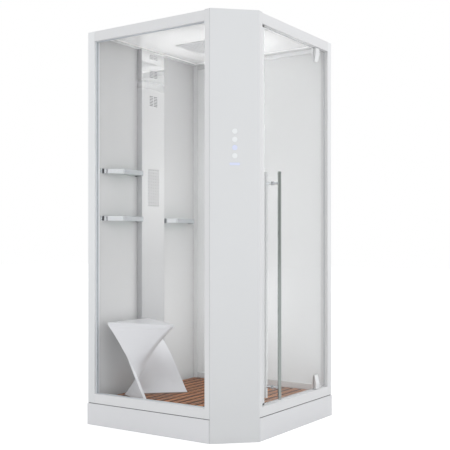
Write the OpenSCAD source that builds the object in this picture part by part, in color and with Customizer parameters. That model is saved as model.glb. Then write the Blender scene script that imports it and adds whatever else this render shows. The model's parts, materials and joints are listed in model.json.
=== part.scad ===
// Corner steam shower cabin: tray, glazed frame, pivot door, control column, service column,
// ceiling with rain plate, slatted floor and a twisted stool. Millimetres, +Z up.
// The origin lies on the floor, at the centre of the tray's square plan.

/* [Cabin] */
// Outer width and depth of the tray
cabin_w = 1000; // [940:10:1060]
// Height from the floor to the top of the column
cabin_h = 2170; // [2100:5:2260]
// Leg of the corner that is cut off at 45 degrees
corner_leg = 180; // [160:5:200]

/* [Tray] */
// Height of the tray's rim above the floor
tray_h = 118; // [110:1:135]
// Height of the basin floor
basin_z = 76; // [72:1:84]
// Distance from the tray's outside to the basin wall
basin_inset = 55; // [53:1:65]
// Thickness of the tray's skirt and basin walls
tray_t = 6; // [4:1:8]
// Fall from the basin floor to the drain seat
dish_depth = 5; // [3:1:6]
// Radius of the sloping dish round the drain
dish_r = 170; // [120:5:180]
// Place of the drain from the centre, left and right
drain_x = -200; // [-240:5:-190]
// Place of the drain from the centre, front and back
drain_y = 165; // [150:5:175]
// Radius of the drain hole in the tray
drain_hole_r = 45; // [40:1:50]
// Outer radius of the waste outlet pipe
waste_r = 20; // [16:1:20]
// Radius of an adjustable foot's pad
foot_r = 30; // [24:1:36]
// Distance of the feet from the tray's outside
foot_inset = 110; // [95:5:130]
// Thickness of the dark seal between tray and frame
base_seal_t = 3; // [2:0.5:4]

/* [Frame] */
// Set-back of the frame behind the tray's outside
frame_set = 3; // [2:1:6]
// Size of the square corner posts
post_w = 47; // [44:1:50]
// Height of the bottom rails
rail_h = 51; // [44:1:60]
// Height of the top rails
head_h = 54; // [53:1:62]
// Height of the column's top above the top rails
head_drop = 4; // [3:1:8]
// Wall thickness of the extruded profiles
profile_t = 2.5; // [2:0.5:3]
// Depth of the rails that stand behind the wall panels
back_rail_d = 38; // [34:1:40]

/* [Glass] */
// Thickness of the fixed pane and of the door
glass_t = 8; // [6:1:8]
// Distance of the glass centre behind the frame's outer face
glass_set = 23; // [21:0.5:25]
// Width of the gasket round the fixed pane
gasket_w = 19; // [16:1:21]
// How far the gasket shows beyond its frame
gasket_show = 5; // [4:1:9]

/* [Door] */
// Distance of the pivot from the inner face of the back post
pivot_set = 112; // [90:1:140]
// Gap under the door glass
door_gap = 8; // [6:1:12]
// Width of the light profile on the door's closing edge
edge_profile_w = 34; // [24:1:40]
// Width of the column's stiles beside the openings
stile_w = 28.5; // [24:0.5:34]
// Width of the magnetic strip on the column
strike_w = 10; // [8:1:14]
// Length of a hinge clamp along the glass edge
clamp_w = 40; // [34:1:52]
// Height of a hinge clamp
clamp_h = 79; // [64:1:96]
// Thickness of a clamp plate at its thick end
clamp_t = 12; // [9:1:12]
// Radius of the pivot pins
pin_r = 5; // [4:0.5:6]
// Radial running clearance of a pivot pin in its clamp
pin_clear = 0.05; // [0.02:0.01:0.1]
// Depth of the pivot bore in a clamp
pin_depth = 30; // [24:1:34]

/* [Handle] */
// Radius of the handle bars
bar_r = 9.5; // [8:0.5:11]
// Length of the handle bars
bar_len = 1182; // [900:2:1200]
// Height of the lower end of the bars
bar_z = 190; // [188:1:300]
// Distance from the glass centre to each bar's axis
bar_off = 43; // [38:1:48]
// Distance of a standoff from the end of the bar
standoff_in = 60; // [45:1:120]
// Radius of the standoffs between bar and glass
standoff_r = 7; // [5:0.5:8]
// Distance from the door's closing edge to the bars
bar_set = 128; // [90:1:160]

/* [Column] */
// Thickness of the column's outer panel
panel_t = 6; // [5:1:8]
// Depth of the column from its outer face to the room
column_d = 56; // [52:1:64]
// Thickness of the column's inner panel
inner_panel_t = 4; // [3:1:5]
// Height of the lowest touch light, the bar
touch_z = 1396; // [1300:1:1450]
// Step between the round touch lights
touch_step = 41; // [38:0.5:48]
// Radius of a round touch light
touch_r = 13.5; // [10:0.5:16]
// Height of the mixer plate's lower edge
mixer_z = 980; // [900:5:1100]
// Width of the mixer plate
mixer_w = 110; // [90:2:130]
// Height of the mixer plate
mixer_h = 240; // [200:2:280]
// Radius of the mixer knobs
knob_r = 24; // [20:1:30]
// Length of a mixer knob
knob_len = 34; // [26:1:42]

/* [Walls] */
// Thickness of the wall panels
wall_t = 8; // [6:1:10]
// Width of the service column on the left wall
service_w = 216; // [200:2:230]
// Distance of the service column's middle from the cabin's centre line
service_y = -14; // [-24:1:0]
// Projection of the service column into the room
service_d = 36; // [30:1:40]
// Radius of the service column's upright edges
service_r = 4; // [3.5:0.5:8]
// Shell thickness of the service column
service_t = 3; // [2:0.5:4]
// Height of the trim on top of the back wall
trim_h = 26; // [20:1:32]
// Thickness of the trim and the skirt of the back wall
trim_t = 6; // [4:1:8]
// Width of the corner profile between the walls
corner_w = 31; // [24:1:34]

/* [Service] */
// Height of the lowest row of body jets
jet_z = 1226; // [1150:1:1300]
// Rows of body jets
jet_rows = 13; // [9:1:15]
// Step between the rows of jets
jet_step_z = 17.5; // [16:0.5:20]
// Columns of body jets
jet_cols = 5; // [3:1:6]
// Step between the columns of jets
jet_step_y = 21.5; // [18:0.5:24]
// Radius of a jet nozzle
jet_r = 3.5; // [2.5:0.5:4.5]
// Length of a louvre slot
slot_len = 34; // [26:1:38]
// Height of a louvre slot
slot_h = 3; // [2:0.5:4]
// Step between louvre slots
slot_step = 9; // [8:0.5:12]
// Height of the steam outlet
steam_z = 350; // [300:5:420]
// Radius of the steam outlet
steam_r = 28; // [22:1:34]

/* [Shelves] */
// Height of a shelf rail
shelf_h = 28; // [22:1:34]
// Thickness of a shelf rail
shelf_rail_t = 3; // [2:0.5:4]
// Projection of a shelf from the wall
shelf_d = 88; // [70:1:100]
// Width of a shelf at the wall
shelf_w = 276; // [240:2:280]
// Set-in of the shelf's front corners
shelf_splay = 60; // [40:2:80]
// Thickness of a shelf plate
shelf_plate_t = 6; // [4:1:8]
// Height of the lower shelves
shelf_z1 = 1126; // [1000:2:1160]
// Height of the upper shelf
shelf_z2 = 1390; // [1300:2:1500]

/* [Ceiling] */
// Height of the ceiling's underside above the lower edge of the top rails
ceiling_rise = 28; // [8:1:29]
// Thickness of the ceiling
ceiling_t = 14; // [12:1:15]
// Side of the rain plate
rain_w = 352; // [320:4:400]
// Place of the rain plate's centre, front and back
rain_y = 105; // [90:5:140]
// Distance of the rain plate's centre from the cabin's middle towards the left wall
rain_x = -32; // [-36:2:0]
// Rows and columns of rain nozzles
rain_n = 11; // [7:2:13]
// Outer radius of the inner water pipes
pipe_r = 5.5; // [4:0.5:6]

/* [Slatted floor] */
// Height of the slats' top
duck_z = 145; // [138:1:146]
// Thickness of the slats
slat_t = 20; // [16:1:24]
// Width of a slat
slat_w = 45; // [38:1:48]
// Step from slat to slat
slat_step = 55; // [52:1:60]
// Clearance between the slats and the frame
duck_gap = 8; // [6:1:14]
// Width of a bearer under the slats
bearer_w = 40; // [30:1:50]

/* [Stool] */
// Height of the stool
stool_h = 419; // [380:1:450]
// Thickness of the stool's twisted shell
stool_t = 15; // [12:1:18]
// Thickness of the stool's seat
seat_t = 12; // [10:1:16]
// Levels through which the shell is lofted
stool_levels = 22; // [12:1:30]

/* [Hidden] */
$fn = 48;
// Overlap that lets a cutting solid run clear through a wall
cut = 1;
// Space kept between neighbouring pieces of different bodies
air = 0.3;

// Frame planes, as distances from the centre
hw = cabin_w / 2;
fo = hw - frame_set;
fi = fo - post_w;
glass_c = fo - glass_set;
glass_in = glass_c - glass_t / 2;
glass_out = glass_c + glass_t / 2;
back_in = fo - back_rail_d;
wall_face = back_in - wall_t;
slats_reach = fi - duck_gap;

// The cut corner's planes are lines x - y = k in plan
k_out = cabin_w - corner_leg;
k_tray = k_out - panel_t * sqrt(2);
k_inner = k_out - column_d * sqrt(2);
k_inner_back = k_inner + inner_panel_t * sqrt(2);
k_ceiling = (k_inner + 2 * k_inner_back) / 3;
k_basin = k_inner - 14;
panel_w = corner_leg * sqrt(2);
stile_x = k_tray - fo - stile_w;

// Heights
frame_z = tray_h + base_seal_t;
rail_top = frame_z + rail_h;
head_top = cabin_h - head_drop;
head_z = head_top - head_h;
foot_top = basin_z - tray_t - dish_depth;
drain_seat_z = basin_z - dish_depth;
drain_seat_r = drain_hole_r + 17;
ceiling_z = head_z + ceiling_rise;
ceiling_top = ceiling_z + ceiling_t;
rain_pocket_z = ceiling_top - 4;
rain_skin = 6;
pipe_top_z = ceiling_top + pipe_r + 0.3;

// Door
pivot_y = fi - pivot_set;
door_z0 = rail_top + door_gap;
door_z1 = head_z - door_gap / 2;
door_back = fi - 7;
edge_y0 = strike_w + air - stile_x;
edge_y1 = edge_y0 + edge_profile_w;
edge_half = glass_t / 2 + 4;
edge_lip = 6;
cap_h = 8;
bar_y = edge_y0 + bar_set;
bar_z1 = bar_z + bar_len;
standoff_z = [bar_z + standoff_in, bar_z1 - standoff_in];
bolt_r = standoff_r - 2;
clamp_gap = 2;
clamp_z0 = rail_top + clamp_gap;
clamp_z1 = head_z - clamp_gap;
core_w = 2 * (pin_r + 7);
core_h = pin_depth + 8;
flange_h = clamp_gap - air;

// Column, in its own axes
cavity_y = (panel_t + column_d - inner_panel_t) / 2 + 4;
plate_t = 8;
knob_z = [mixer_z + mixer_h / 4, mixer_z + mixer_h * 3 / 4];
spindle_r = 6;
spindle_end = column_d + plate_t + knob_len * 0.6;
mixer_r = min(17, column_d - inner_panel_t - cavity_y);
tail_x = 40;
tail_z = 60;
control_d = 18;

// Service column on the left wall
service_y0 = service_y - service_w / 2;
service_y1 = service_y + service_w / 2;
service_face = wall_face - service_d;
jet_top = jet_z + (jet_rows - 1) * jet_step_z;
jet_half = (jet_cols - 1) * jet_step_y / 2;
manifold_t = 18;
manifold_x = service_face + service_t + 6;
manifold_lip = 15;
drop_set = 42;
manifold_half = max(jet_half + manifold_lip, drop_set + pipe_r + 8);
drop_x = -(manifold_x + manifold_t / 2);
drop_y = service_y + drop_set;
speaker_r = drop_set - pipe_r - 4;
tank_r = 33;
tank_x = -(fo - 2 - tank_r);
tank_z0 = steam_z + 70;
tank_h = 340;
steam_pipe_r = 9;
// Louvre groups: height of the lowest slot, number of rows
louvres = [[ceiling_z - 322, 7], [ceiling_z - 154, 5], [ceiling_z - 44, 3]];
speaker_z = louvres[0][0] + (louvres[0][1] - 1) * slot_step / 2;

// Shelf positions: middle along the wall, height of the rail's lower edge
shelf_post_r = 9;
shelf_front_y = service_y0 - shelf_w / 2 - shelf_post_r - 7;
shelf_rear_y = (service_y1 + fi) / 2 - 14;
shelves = [[shelf_front_y, shelf_z1], [shelf_front_y, shelf_z2], [shelf_rear_y, shelf_z1]];

// Plan of the cabin set in by i, with the cut corner on the line x - y = k
function plan(i, k) = [[-hw + i, -hw + i], [k - hw + i, -hw + i], [hw - i, hw - i - k],
    [hw - i, hw - i], [-hw + i, hw - i]];

// Carries a profile drawn as (across, up) along X; across lies on Y
module along_x(x0, x1) translate([x0, 0, 0]) rotate([90, 0, 90]) linear_extrude(x1 - x0) children();

// Carries a profile drawn as (across, up) along Y; across lies on X
module along_y(y0, y1) translate([0, y1, 0]) rotate([90, 0, 0]) linear_extrude(y1 - y0) children();

// Carries a shape drawn in plan from z0 up to z1
module rise(z0, z1) translate([0, 0, z0]) linear_extrude(z1 - z0) children();

// The column's own axes: X along the panel, Y from its outer face into the room
module at_column() translate([k_out / 2, -k_out / 2, 0]) rotate([0, 0, 45]) children();

// Rectangle from corner to corner
module rect(x0, y0, x1, y1) translate([x0, y0]) square([x1 - x0, y1 - y0]);

// Rectangle with round corners, from corner to corner
module round_rect(x0, y0, x1, y1, r) {
    rect(x0 + r, y0, x1 - r, y1);
    rect(x0, y0 + r, x1, y1 - r);
    for (x = [x0 + r, x1 - r], y = [y0 + r, y1 - r]) translate([x, y]) circle(r);
}

// Block from corner to corner
module block(a, b) translate(a) cube(b - a);

// Round bar from point to point
module rod(a, b, r) {
    d = b - a;
    translate(a)
        rotate([0, acos(d[2] / norm(d)), atan2(d[1], d[0])])
            cylinder(h = norm(d), r = r);
}

// Tray: a skirt to the floor, a rim, and a basin with a dish that falls to the drain
module waste_notch() {
    translate([drain_x, hw + cut, 34]) rotate([90, 0, 0]) cylinder(h = basin_inset, r = waste_r + 6);
    block([drain_x - waste_r - 6, hw + cut - basin_inset, -cut], [drain_x + waste_r + 6, hw + cut, 34]);
}

module tail_holes(r) at_column()
    for (x = [-tail_x, tail_x]) translate([x, cavity_y, tray_h - tray_t - cut])
        cylinder(h = tray_t + base_seal_t + 2 * cut, r = r);

module shower_tray() color("white") difference() {
    rise(0, tray_h) polygon(plan(0, k_tray));
    rise(basin_z, tray_h + cut) polygon(plan(basin_inset, k_basin));
    translate([drain_x, drain_y, drain_seat_z]) cylinder(h = dish_depth, r1 = drain_seat_r, r2 = dish_r);
    translate([drain_x, drain_y, drain_seat_z]) cylinder(h = tray_h, r = drain_seat_r);
    rise(-cut, foot_top) polygon(plan(tray_t, k_tray - tray_t * sqrt(2)));
    rise(-cut, tray_h - tray_t) difference() {
        polygon(plan(tray_t, k_tray - tray_t * sqrt(2)));
        polygon(plan(basin_inset - tray_t, k_basin + tray_t * sqrt(2)));
    }
    translate([drain_x, drain_y, 0]) cylinder(h = tray_h, r = drain_hole_r);
    waste_notch();
    tail_holes(pipe_r + 3);
}

// Adjustable foot: pad, cone, threaded stud and lock nut
module foot() {
    cylinder(h = 9, r = foot_r);
    translate([0, 0, 9]) cylinder(h = 6, r1 = foot_r - 4, r2 = 11);
    cylinder(h = foot_top, r = 6);
    translate([0, 0, foot_top - 12]) cylinder(h = 12, r = 13, $fn = 6);
}

module tray_feet() color("dimgray") {
    q = hw - foot_inset;
    s = (k_tray - foot_inset * sqrt(2)) / 2;
    for (p = [[0, 0], [-q, -q], [-q, q], [q, q], [s, -s]]) translate(p) foot();
}

// Low trap under the basin, with its flange in the basin and its outlet to the back
module waste_trap() color("gainsboro") translate([drain_x, drain_y, 0]) difference() {
    union() {
        translate([0, 0, 6]) cylinder(h = foot_top - 6, r = drain_hole_r + 7);
        cylinder(h = drain_seat_z, r = drain_hole_r - 0.4);
        translate([0, 0, drain_seat_z]) cylinder(h = 2, r = drain_seat_r - 2);
        translate([0, 0, 34]) rotate([-90, 0, 0]) cylinder(h = hw - drain_y - 100, r = waste_r + 4);
        translate([0, 0, 34]) rotate([-90, 0, 0]) cylinder(h = hw - drain_y - 25, r = waste_r);
    }
    translate([0, 0, 12]) cylinder(h = drain_seat_z, r = drain_hole_r - 9);
    translate([0, 0, -cut]) cylinder(h = 6 + cut, r = drain_hole_r + 8);
    translate([0, 0, 34]) rotate([-90, 0, 0]) cylinder(h = hw, r = waste_r - 3);
}

// Chrome cap over the drain, on three short posts that stand on the flange
module drain_cover() color("silver") translate([drain_x, drain_y, drain_seat_z + 2]) {
    translate([0, 0, 3]) cylinder(h = 2, r = drain_seat_r - 6);
    translate([0, 0, 5]) cylinder(h = 2, r1 = drain_seat_r - 6, r2 = drain_seat_r - 14);
    for (a = [90, 210, 330]) rotate(a) translate([drain_hole_r + 5, 0, 0]) cylinder(h = 4, r = 4);
}

module base_seal() color("#303438") difference() {
    rise(tray_h, frame_z) difference() {
        polygon(plan(frame_set + 3, k_tray - 6));
        polygon(plan(hw - fi - 2, k_inner + 8));
    }
    tail_holes(pipe_r + 3);
}

// Frame: hollow rails between square posts
groove_w = glass_t + 4;
groove_d = 12;
ledge_w = 10;
ledge_h = 6;

module rail_shape(a0, a1, z0, z1) difference() {
    rect(a0, z0, a1, z1);
    rect(a0 + profile_t, z0 + profile_t, a1 - profile_t, z1 - profile_t);
}

module sill_front() color("white") along_x(-fi, stile_x) difference() {
    rect(-fo, frame_z, -fi, rail_top);
    rect(-fo + profile_t, frame_z + profile_t, -fi - profile_t, rail_top - groove_d - profile_t);
    rect(-glass_c - groove_w / 2, rail_top - groove_d, -glass_c + groove_w / 2, rail_top + cut);
}

module sill_door() color("white") along_y(-stile_x, fi) rail_shape(fi, fo, frame_z, rail_top);

module sill_left() color("white") along_y(-fi, fi) rail_shape(-fo, -back_in, frame_z, rail_top);

module sill_back() color("white") along_x(-fi, fi) rail_shape(back_in, fo, frame_z, rail_top);

module head_front() color("white") along_x(-fi, stile_x) {
    difference() {
        rect(-fo, head_z, -fi, head_top);
        rect(-fo + profile_t, head_z + groove_d + profile_t, -fi - profile_t, head_top - profile_t);
        rect(-glass_c - groove_w / 2, head_z - cut, -glass_c + groove_w / 2, head_z + groove_d);
    }
    rect(-fi, ceiling_z - ledge_h, -fi + ledge_w, ceiling_z);
}

module head_door() color("white") {
    along_y(-stile_x, fi) rail_shape(fi, fo, head_z, head_top);
    along_y(-stile_x, wall_face - trim_t - air) rect(fi - ledge_w, ceiling_z - ledge_h, fi, ceiling_z);
}

module head_left() color("white") along_y(-fi, fi) rail_shape(-fo, -back_in, head_z, head_top);

module head_back() color("white") along_x(-fi, fi) rail_shape(back_in, fo, head_z, head_top);

// Square tube post, closed on top, with its outer corner at (x, y) times the frame's reach
module post(x, y) translate([x * (fi + fo) / 2, y * (fi + fo) / 2, 0]) difference() {
    rise(frame_z, head_top) square(post_w, center = true);
    rise(frame_z - cut, head_top - profile_t) square(post_w - 2 * profile_t, center = true);
}

module post_front_left() color("white") post(-1, -1);

module post_back_left() color("white") post(-1, 1);

module post_back_right() color("white") post(1, 1);

// Fixed pane and the dark gasket that holds its four edges
pane_a = [-fi + 2, -glass_out, rail_top - groove_d + 2];
pane_b = [stile_x - 2, -glass_in, head_z + groove_d - 2];

module fixed_glass() color("lightcyan", 0.3) block(pane_a, pane_b);

module glass_gasket() color("#3c4450") difference() {
    union() {
        block([-fi, -glass_c - groove_w / 2, rail_top - groove_d],
            [stile_x, -glass_c + groove_w / 2, head_z + groove_d]);
        block([-fi, -glass_c - gasket_w / 2, rail_top], [stile_x, -glass_c + gasket_w / 2, head_z]);
    }
    block(pane_a, pane_b);
    block([-fi + gasket_show, -hw, rail_top + 1.5], [stile_x - gasket_show, 0, head_z - gasket_show / 2]);
}

// Control column across the cut corner
function touch_places() = [for (i = [1:4]) touch_z + i * touch_step];

module touch_outline(margin) {
    translate([0, touch_z])
        round_rect(-26.5 - margin, -6.5 - margin, 26.5 + margin, 6.5 + margin, 4 + margin);
    for (z = touch_places()) translate([0, z]) circle(touch_r + margin);
}

// Carries a shape drawn as (along the panel, up) from depth y0 to depth y1 of the column
module through_column(y0, y1) at_column() translate([0, y1, 0]) rotate([90, 0, 0])
    linear_extrude(y1 - y0) children();

// Glue line between the panel and the stiles, tray and cap behind it
glue_t = 0.03;

module column_panel() color("white") difference() {
    at_column() block([-panel_w / 2, 0, 0], [panel_w / 2, panel_t - glue_t, cabin_h]);
    through_column(-cut, 0.8) touch_outline(0.3);
}

stile_nose = 25;
stile_back = (k_tray - k_inner_back) / 2;
stile_shape = [[stile_x, -fo], [k_tray - fo, -fo], [k_tray - fo + stile_nose, stile_nose - fo],
    [k_tray - fo + stile_nose - stile_back, stile_nose + stile_back - fo], [k_inner_back - fi, -fi],
    [stile_x, -fi]];
stile_mid = [for (i = [0, 1]) (stile_shape[0][i] + stile_shape[2][i] + stile_shape[3][i]) / 3];

module column_stile() rise(frame_z, head_top) difference() {
    polygon(stile_shape);
    translate(stile_mid) scale(0.72) translate(-stile_mid) polygon(stile_shape);
}

module column_stile_front() color("white") column_stile();

module column_stile_door() color("white") mirror([1, 1, 0]) column_stile();

module column_inner_panel() color("white") difference() {
    rise(frame_z, ceiling_z) polygon([[k_inner - fi, -fi], [k_inner_back - fi, -fi],
        [fi, fi - k_inner_back], [fi, fi - k_inner]]);
    through_column(0, column_d + cut) for (z = knob_z) translate([0, z]) circle(spindle_r + 3);
}

module column_cap() color("white") rise(head_top, cabin_h)
    polygon([[stile_x, -fo], [k_tray - fo, -fo], [fo, fo - k_tray], [fo, -stile_x], [fi, -stile_x],
        [fi, fi - k_inner], [k_inner - fi, -fi], [stile_x, -fi]]);

module strike_seal() color("#202428")
    block([glass_c - edge_half - 2, -stile_x, door_z0],
        [glass_c + edge_half + 2, strike_w - stile_x, door_z1]);

module touch_lights() color("deepskyblue") through_column(-0.2, 0.8) touch_outline(0);

module control_box() color("dimgray") {
    through_column(panel_t, panel_t + 3) round_rect(-70, touch_z - 50, 70, touch_z + 4 * touch_step + 60, 6);
    through_column(panel_t + 3, panel_t + control_d)
        round_rect(-60, touch_z - 40, 60, touch_z + 4 * touch_step + 50, 5);
}

// Mixing valve behind the inner panel, with the two spindles that the knobs turn on
module mixer_body() color("goldenrod") {
    at_column() translate([0, cavity_y, mixer_z + 10]) cylinder(h = mixer_h - 20, r = mixer_r);
    through_column(cavity_y, spindle_end) for (z = knob_z) translate([0, z]) circle(spindle_r);
    at_column() translate([0, cavity_y, mixer_z + 20]) rotate([0, 90, 0])
        cylinder(h = 2 * tail_x, r = pipe_r + 1, center = true);
    at_column() for (x = [-tail_x, tail_x]) translate([x, cavity_y, mixer_z])
        cylinder(h = 20 + pipe_r + 4, r = pipe_r + 3);
}

module mixer_plate() color("silver") through_column(column_d, column_d + plate_t) difference() {
    round_rect(-mixer_w / 2, mixer_z, mixer_w / 2, mixer_z + mixer_h, 8);
    for (z = knob_z) translate([0, z]) circle(spindle_r + 3);
}

// Round knob with a waist, a pointer rib and a blind bore for its spindle
module knob(z) at_column() translate([0, column_d + plate_t + air, z]) rotate([-90, 0, 0]) difference() {
    union() {
        cylinder(h = knob_len - 4, r = knob_r);
        translate([0, 0, knob_len - 4]) cylinder(h = 4, r1 = knob_r, r2 = knob_r - 4);
        translate([-2, -knob_r - 3, knob_len / 2]) cube([4, knob_r, knob_len / 2 - 4]);
    }
    translate([0, 0, -cut]) cylinder(h = cut + knob_len * 0.6 + 1, r = spindle_r + pin_clear);
    for (i = [0:11]) rotate(i * 30 + 15) translate([knob_r + 3, 0, 3]) cylinder(h = knob_len - 10, r = 4.5);
}

module knob_temperature() color("silver") knob(knob_z[1]);

module knob_flow() color("silver") knob(knob_z[0]);

// Wall panels stand on the seal, in front of the rails, up to the ceiling
module wall_panel_front() color("#c8cccc")
    block([-back_in, -fi, frame_z], [-wall_face, service_y0, ceiling_z]);

module wall_panel_rear() color("#c8cccc")
    block([-back_in, service_y1, frame_z], [-wall_face, fi, ceiling_z]);

module wall_panel_back() color("#e4e6e6")
    block([-fi, wall_face, frame_z], [fi, back_in, ceiling_z]);

module wall_trims() color("silver")
    for (z = [[ceiling_z - trim_h - 1, ceiling_z - 1], [frame_z, rail_top + 5]])
        block([corner_w - wall_face, wall_face - trim_t, z[0]], [fi - cut, wall_face, z[1]]);

module corner_profile() color("gainsboro") rise(frame_z, ceiling_z)
    polygon([[-wall_face, wall_face - 5], [-wall_face + corner_w - 1, wall_face - 5],
        [-wall_face + corner_w, wall_face - 4], [-wall_face + corner_w, wall_face],
        [-fi, wall_face], [-fi, fi], [-wall_face, fi]]);

// Service column: a shell with round shoulders, drawn in plan; m is the distance inside its face
module service_shape(m, back) intersection() {
    rect(-back_in - back, service_y0 + m, -service_face - m, service_y1 - m);
    union() {
        rect(-hw, service_y0 + m, -service_face - service_r, service_y1 - m);
        rect(-hw, service_y0 + service_r, -service_face, service_y1 - service_r);
        for (y = [service_y0 + service_r, service_y1 - service_r])
            translate([-service_face - service_r, y]) circle(service_r - m);
    }
}

module jet_grid() for (row = [0:jet_rows - 1], col = [0:jet_cols - 1])
    translate([service_y - jet_half + col * jet_step_y, jet_z + row * jet_step_z]) children();

module louvre_slots() for (g = louvres, row = [0:g[1] - 1], side = [-1, 1])
    translate([service_y + side * (slot_len / 2 + 3), g[0] + row * slot_step])
        square([slot_len, slot_h], center = true);

module service_cover() color("white") difference() {
    rise(frame_z, ceiling_z) difference() {
        service_shape(0, 0);
        service_shape(service_t, cut);
    }
    along_x(-service_face - service_t - cut, cut - service_face) {
        jet_grid() circle(jet_r + 0.2);
        louvre_slots();
        translate([service_y, steam_z]) circle(steam_pipe_r + 1);
    }
}

// Shallow sheet pan that closes the service column's back
module service_back() color("gainsboro") difference() {
    block([-fo, service_y0, rail_top], [-back_in, service_y1, head_z]);
    block([2 - fo, service_y0 + 2, rail_top - cut], [cut - back_in, service_y1 - 2, head_z + cut]);
}

module jet_nozzles() color("#9aa0a4") along_x(-manifold_x, 1.5 - service_face) jet_grid() circle(jet_r);

module jet_manifold() color("gray") {
    along_x(-manifold_x - manifold_t, -manifold_x)
        round_rect(service_y - manifold_half, jet_z - manifold_lip,
            service_y + manifold_half, jet_top + manifold_lip, 6);
    for (z = [jet_z, jet_top])
        block([2 - fo, service_y - 12, z - 12], [-manifold_x - manifold_t, service_y + 12, z + 12]);
}

module speaker() color("#303030") translate([-service_face - service_t, service_y, speaker_z])
    rotate([0, -90, 0]) {
        cylinder(h = 5, r = speaker_r);
        translate([0, 0, 5]) cylinder(h = 14, r1 = speaker_r - 3, r2 = speaker_r / 2);
        translate([0, 0, 19]) cylinder(h = 10, r = speaker_r / 2);
    }

// Oval boiler on its back plate
module steam_generator() color("silver") {
    rise(tank_z0, tank_z0 + tank_h) {
        for (y = [-45, 45]) translate([tank_x, service_y + y]) circle(tank_r);
        rect(tank_x - tank_r, service_y - 45, tank_x + tank_r, service_y + 45);
    }
    for (z = [tank_z0, tank_z0 + tank_h - 4]) rise(z, z + 4)
        rect(2 - fo, service_y - 60, tank_x, service_y + 60);
    translate([tank_x, service_y + 40, tank_z0 + tank_h]) cylinder(h = 24, r = 12);
}

// Steam pipe from the boiler down and forward to its round outlet on the service column
module steam_outlet() color("silver") {
    rod([tank_x, service_y, tank_z0], [tank_x, service_y, steam_z], steam_pipe_r);
    translate([tank_x, service_y, steam_z]) sphere(steam_pipe_r);
    rod([tank_x, service_y, steam_z], [-service_face, service_y, steam_z], steam_pipe_r);
    translate([-service_face, service_y, steam_z]) rotate([0, 90, 0]) difference() {
        union() {
            cylinder(h = 4, r = steam_r);
            translate([0, 0, 4]) cylinder(h = 5, r1 = steam_r, r2 = steam_r * 0.7);
        }
        for (y = [-2:2]) translate([y * steam_r / 4, 0, 8])
            cube([steam_r / 9, steam_r, 6], center = true);
    }
}

// Water: riser in the control column, crossing over the ceiling, and the two supply tails
module water_pipes() color("peru") {
    c = (k_out - cavity_y * sqrt(2)) / 2;
    foot_z = mixer_z + mixer_h - 10;
    rod([c, -c, foot_z], [c, -c, pipe_top_z], pipe_r);
    rod([c, -c, pipe_top_z], [rain_x, rain_y, pipe_top_z], pipe_r);
    rod([rain_x, rain_y, pipe_top_z], [rain_x, rain_y, rain_pocket_z], pipe_r);
    rod([rain_x, rain_y, pipe_top_z], [drop_x, drop_y, pipe_top_z], pipe_r);
    rod([drop_x, drop_y, pipe_top_z], [drop_x, drop_y, jet_top + manifold_lip], pipe_r);
    for (p = [[c, -c], [rain_x, rain_y], [drop_x, drop_y]]) translate([p[0], p[1], ceiling_top])
        cylinder(h = head_top - ceiling_top - 0.2, r = pipe_r + 2);
    at_column() for (x = [-tail_x, tail_x]) {
        translate([x, cavity_y, tail_z]) cylinder(h = mixer_z - tail_z, r = pipe_r);
        translate([x, cavity_y, tail_z + 40]) cylinder(h = 8, r = pipe_r + 2);
    }
}

// Shelves with splayed ends: a chrome rail round a plate, on two wall posts
function shelf_plan(m) = let (x = -wall_face, d = shelf_d - m, w = shelf_w / 2, s = shelf_splay + m / 2)
    [[x, m - w], [x + d, s - w], [x + d, w - s], [x, w - m]];

module shelf_rails() color("silver") for (s = shelves) translate([0, s[0], 0]) {
    rise(s[1], s[1] + shelf_h) difference() {
        polygon(shelf_plan(0));
        polygon(shelf_plan(shelf_rail_t));
    }
    for (y = [-1, 1]) translate([shelf_post_r - wall_face, y * (shelf_w / 2 + shelf_post_r - 3), s[1]])
        cylinder(h = shelf_h, r = shelf_post_r);
}

module shelf_plates() color("#dfe4e4") for (s = shelves) translate([0, s[0], 0])
    rise(s[1] + 5, s[1] + 5 + shelf_plate_t) polygon(shelf_plan(shelf_rail_t));

// Ceiling with a pocket for the rain plate and a channel for the light strips
light_in = 38;
light_w = 22;
light_d = 6;

module light_ring(m) difference() {
    polygon(plan(hw - fi + light_in - m, k_inner - (light_in - m) * sqrt(2)));
    polygon(plan(hw - fi + light_in + light_w + m, k_inner - (light_in + light_w + m) * sqrt(2)));
}

module rain_square(half) translate([rain_x - half, rain_y - half]) square(2 * half);

module ceiling() color("white") difference() {
    rise(ceiling_z, ceiling_top) {
        polygon([[-fi, -fi], [k_ceiling - fi, -fi], [fi, fi - k_ceiling], [fi, fi], [-fi, fi]]);
        rect(-back_in, -fi, -fi, fi - cut);
        rect(-fi + cut, fi, fi, back_in);
    }
    rise(ceiling_z - cut, ceiling_z + light_d) light_ring(0);
    rise(ceiling_z - cut, rain_pocket_z) rain_square(rain_w / 2 + 1);
    translate([rain_x, rain_y, ceiling_z]) cylinder(h = ceiling_t + cut, r = pipe_r + 0.3);
    translate([drop_x, drop_y, ceiling_z - cut]) cylinder(h = ceiling_t + 2 * cut, r = pipe_r + 0.5);
}

module light_strips() color("white") rise(ceiling_z + 1, ceiling_z + light_d) light_ring(-0.3);

module rain_plate() color("gray") difference() {
    rise(ceiling_z - 2, rain_pocket_z) rain_square(rain_w / 2);
    rise(ceiling_z - 2 + rain_skin, rain_pocket_z + cut) rain_square(rain_w / 2 - 8);
}

module rain_nozzles() color("#606468") rise(ceiling_z - 3.5, ceiling_z - 2)
    for (i = [1:rain_n], j = [1:rain_n])
        translate([i, j] * rain_w / (rain_n + 1) + [rain_x - rain_w / 2, rain_y - rain_w / 2])
            circle(2.2, $fn = 16);

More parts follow.
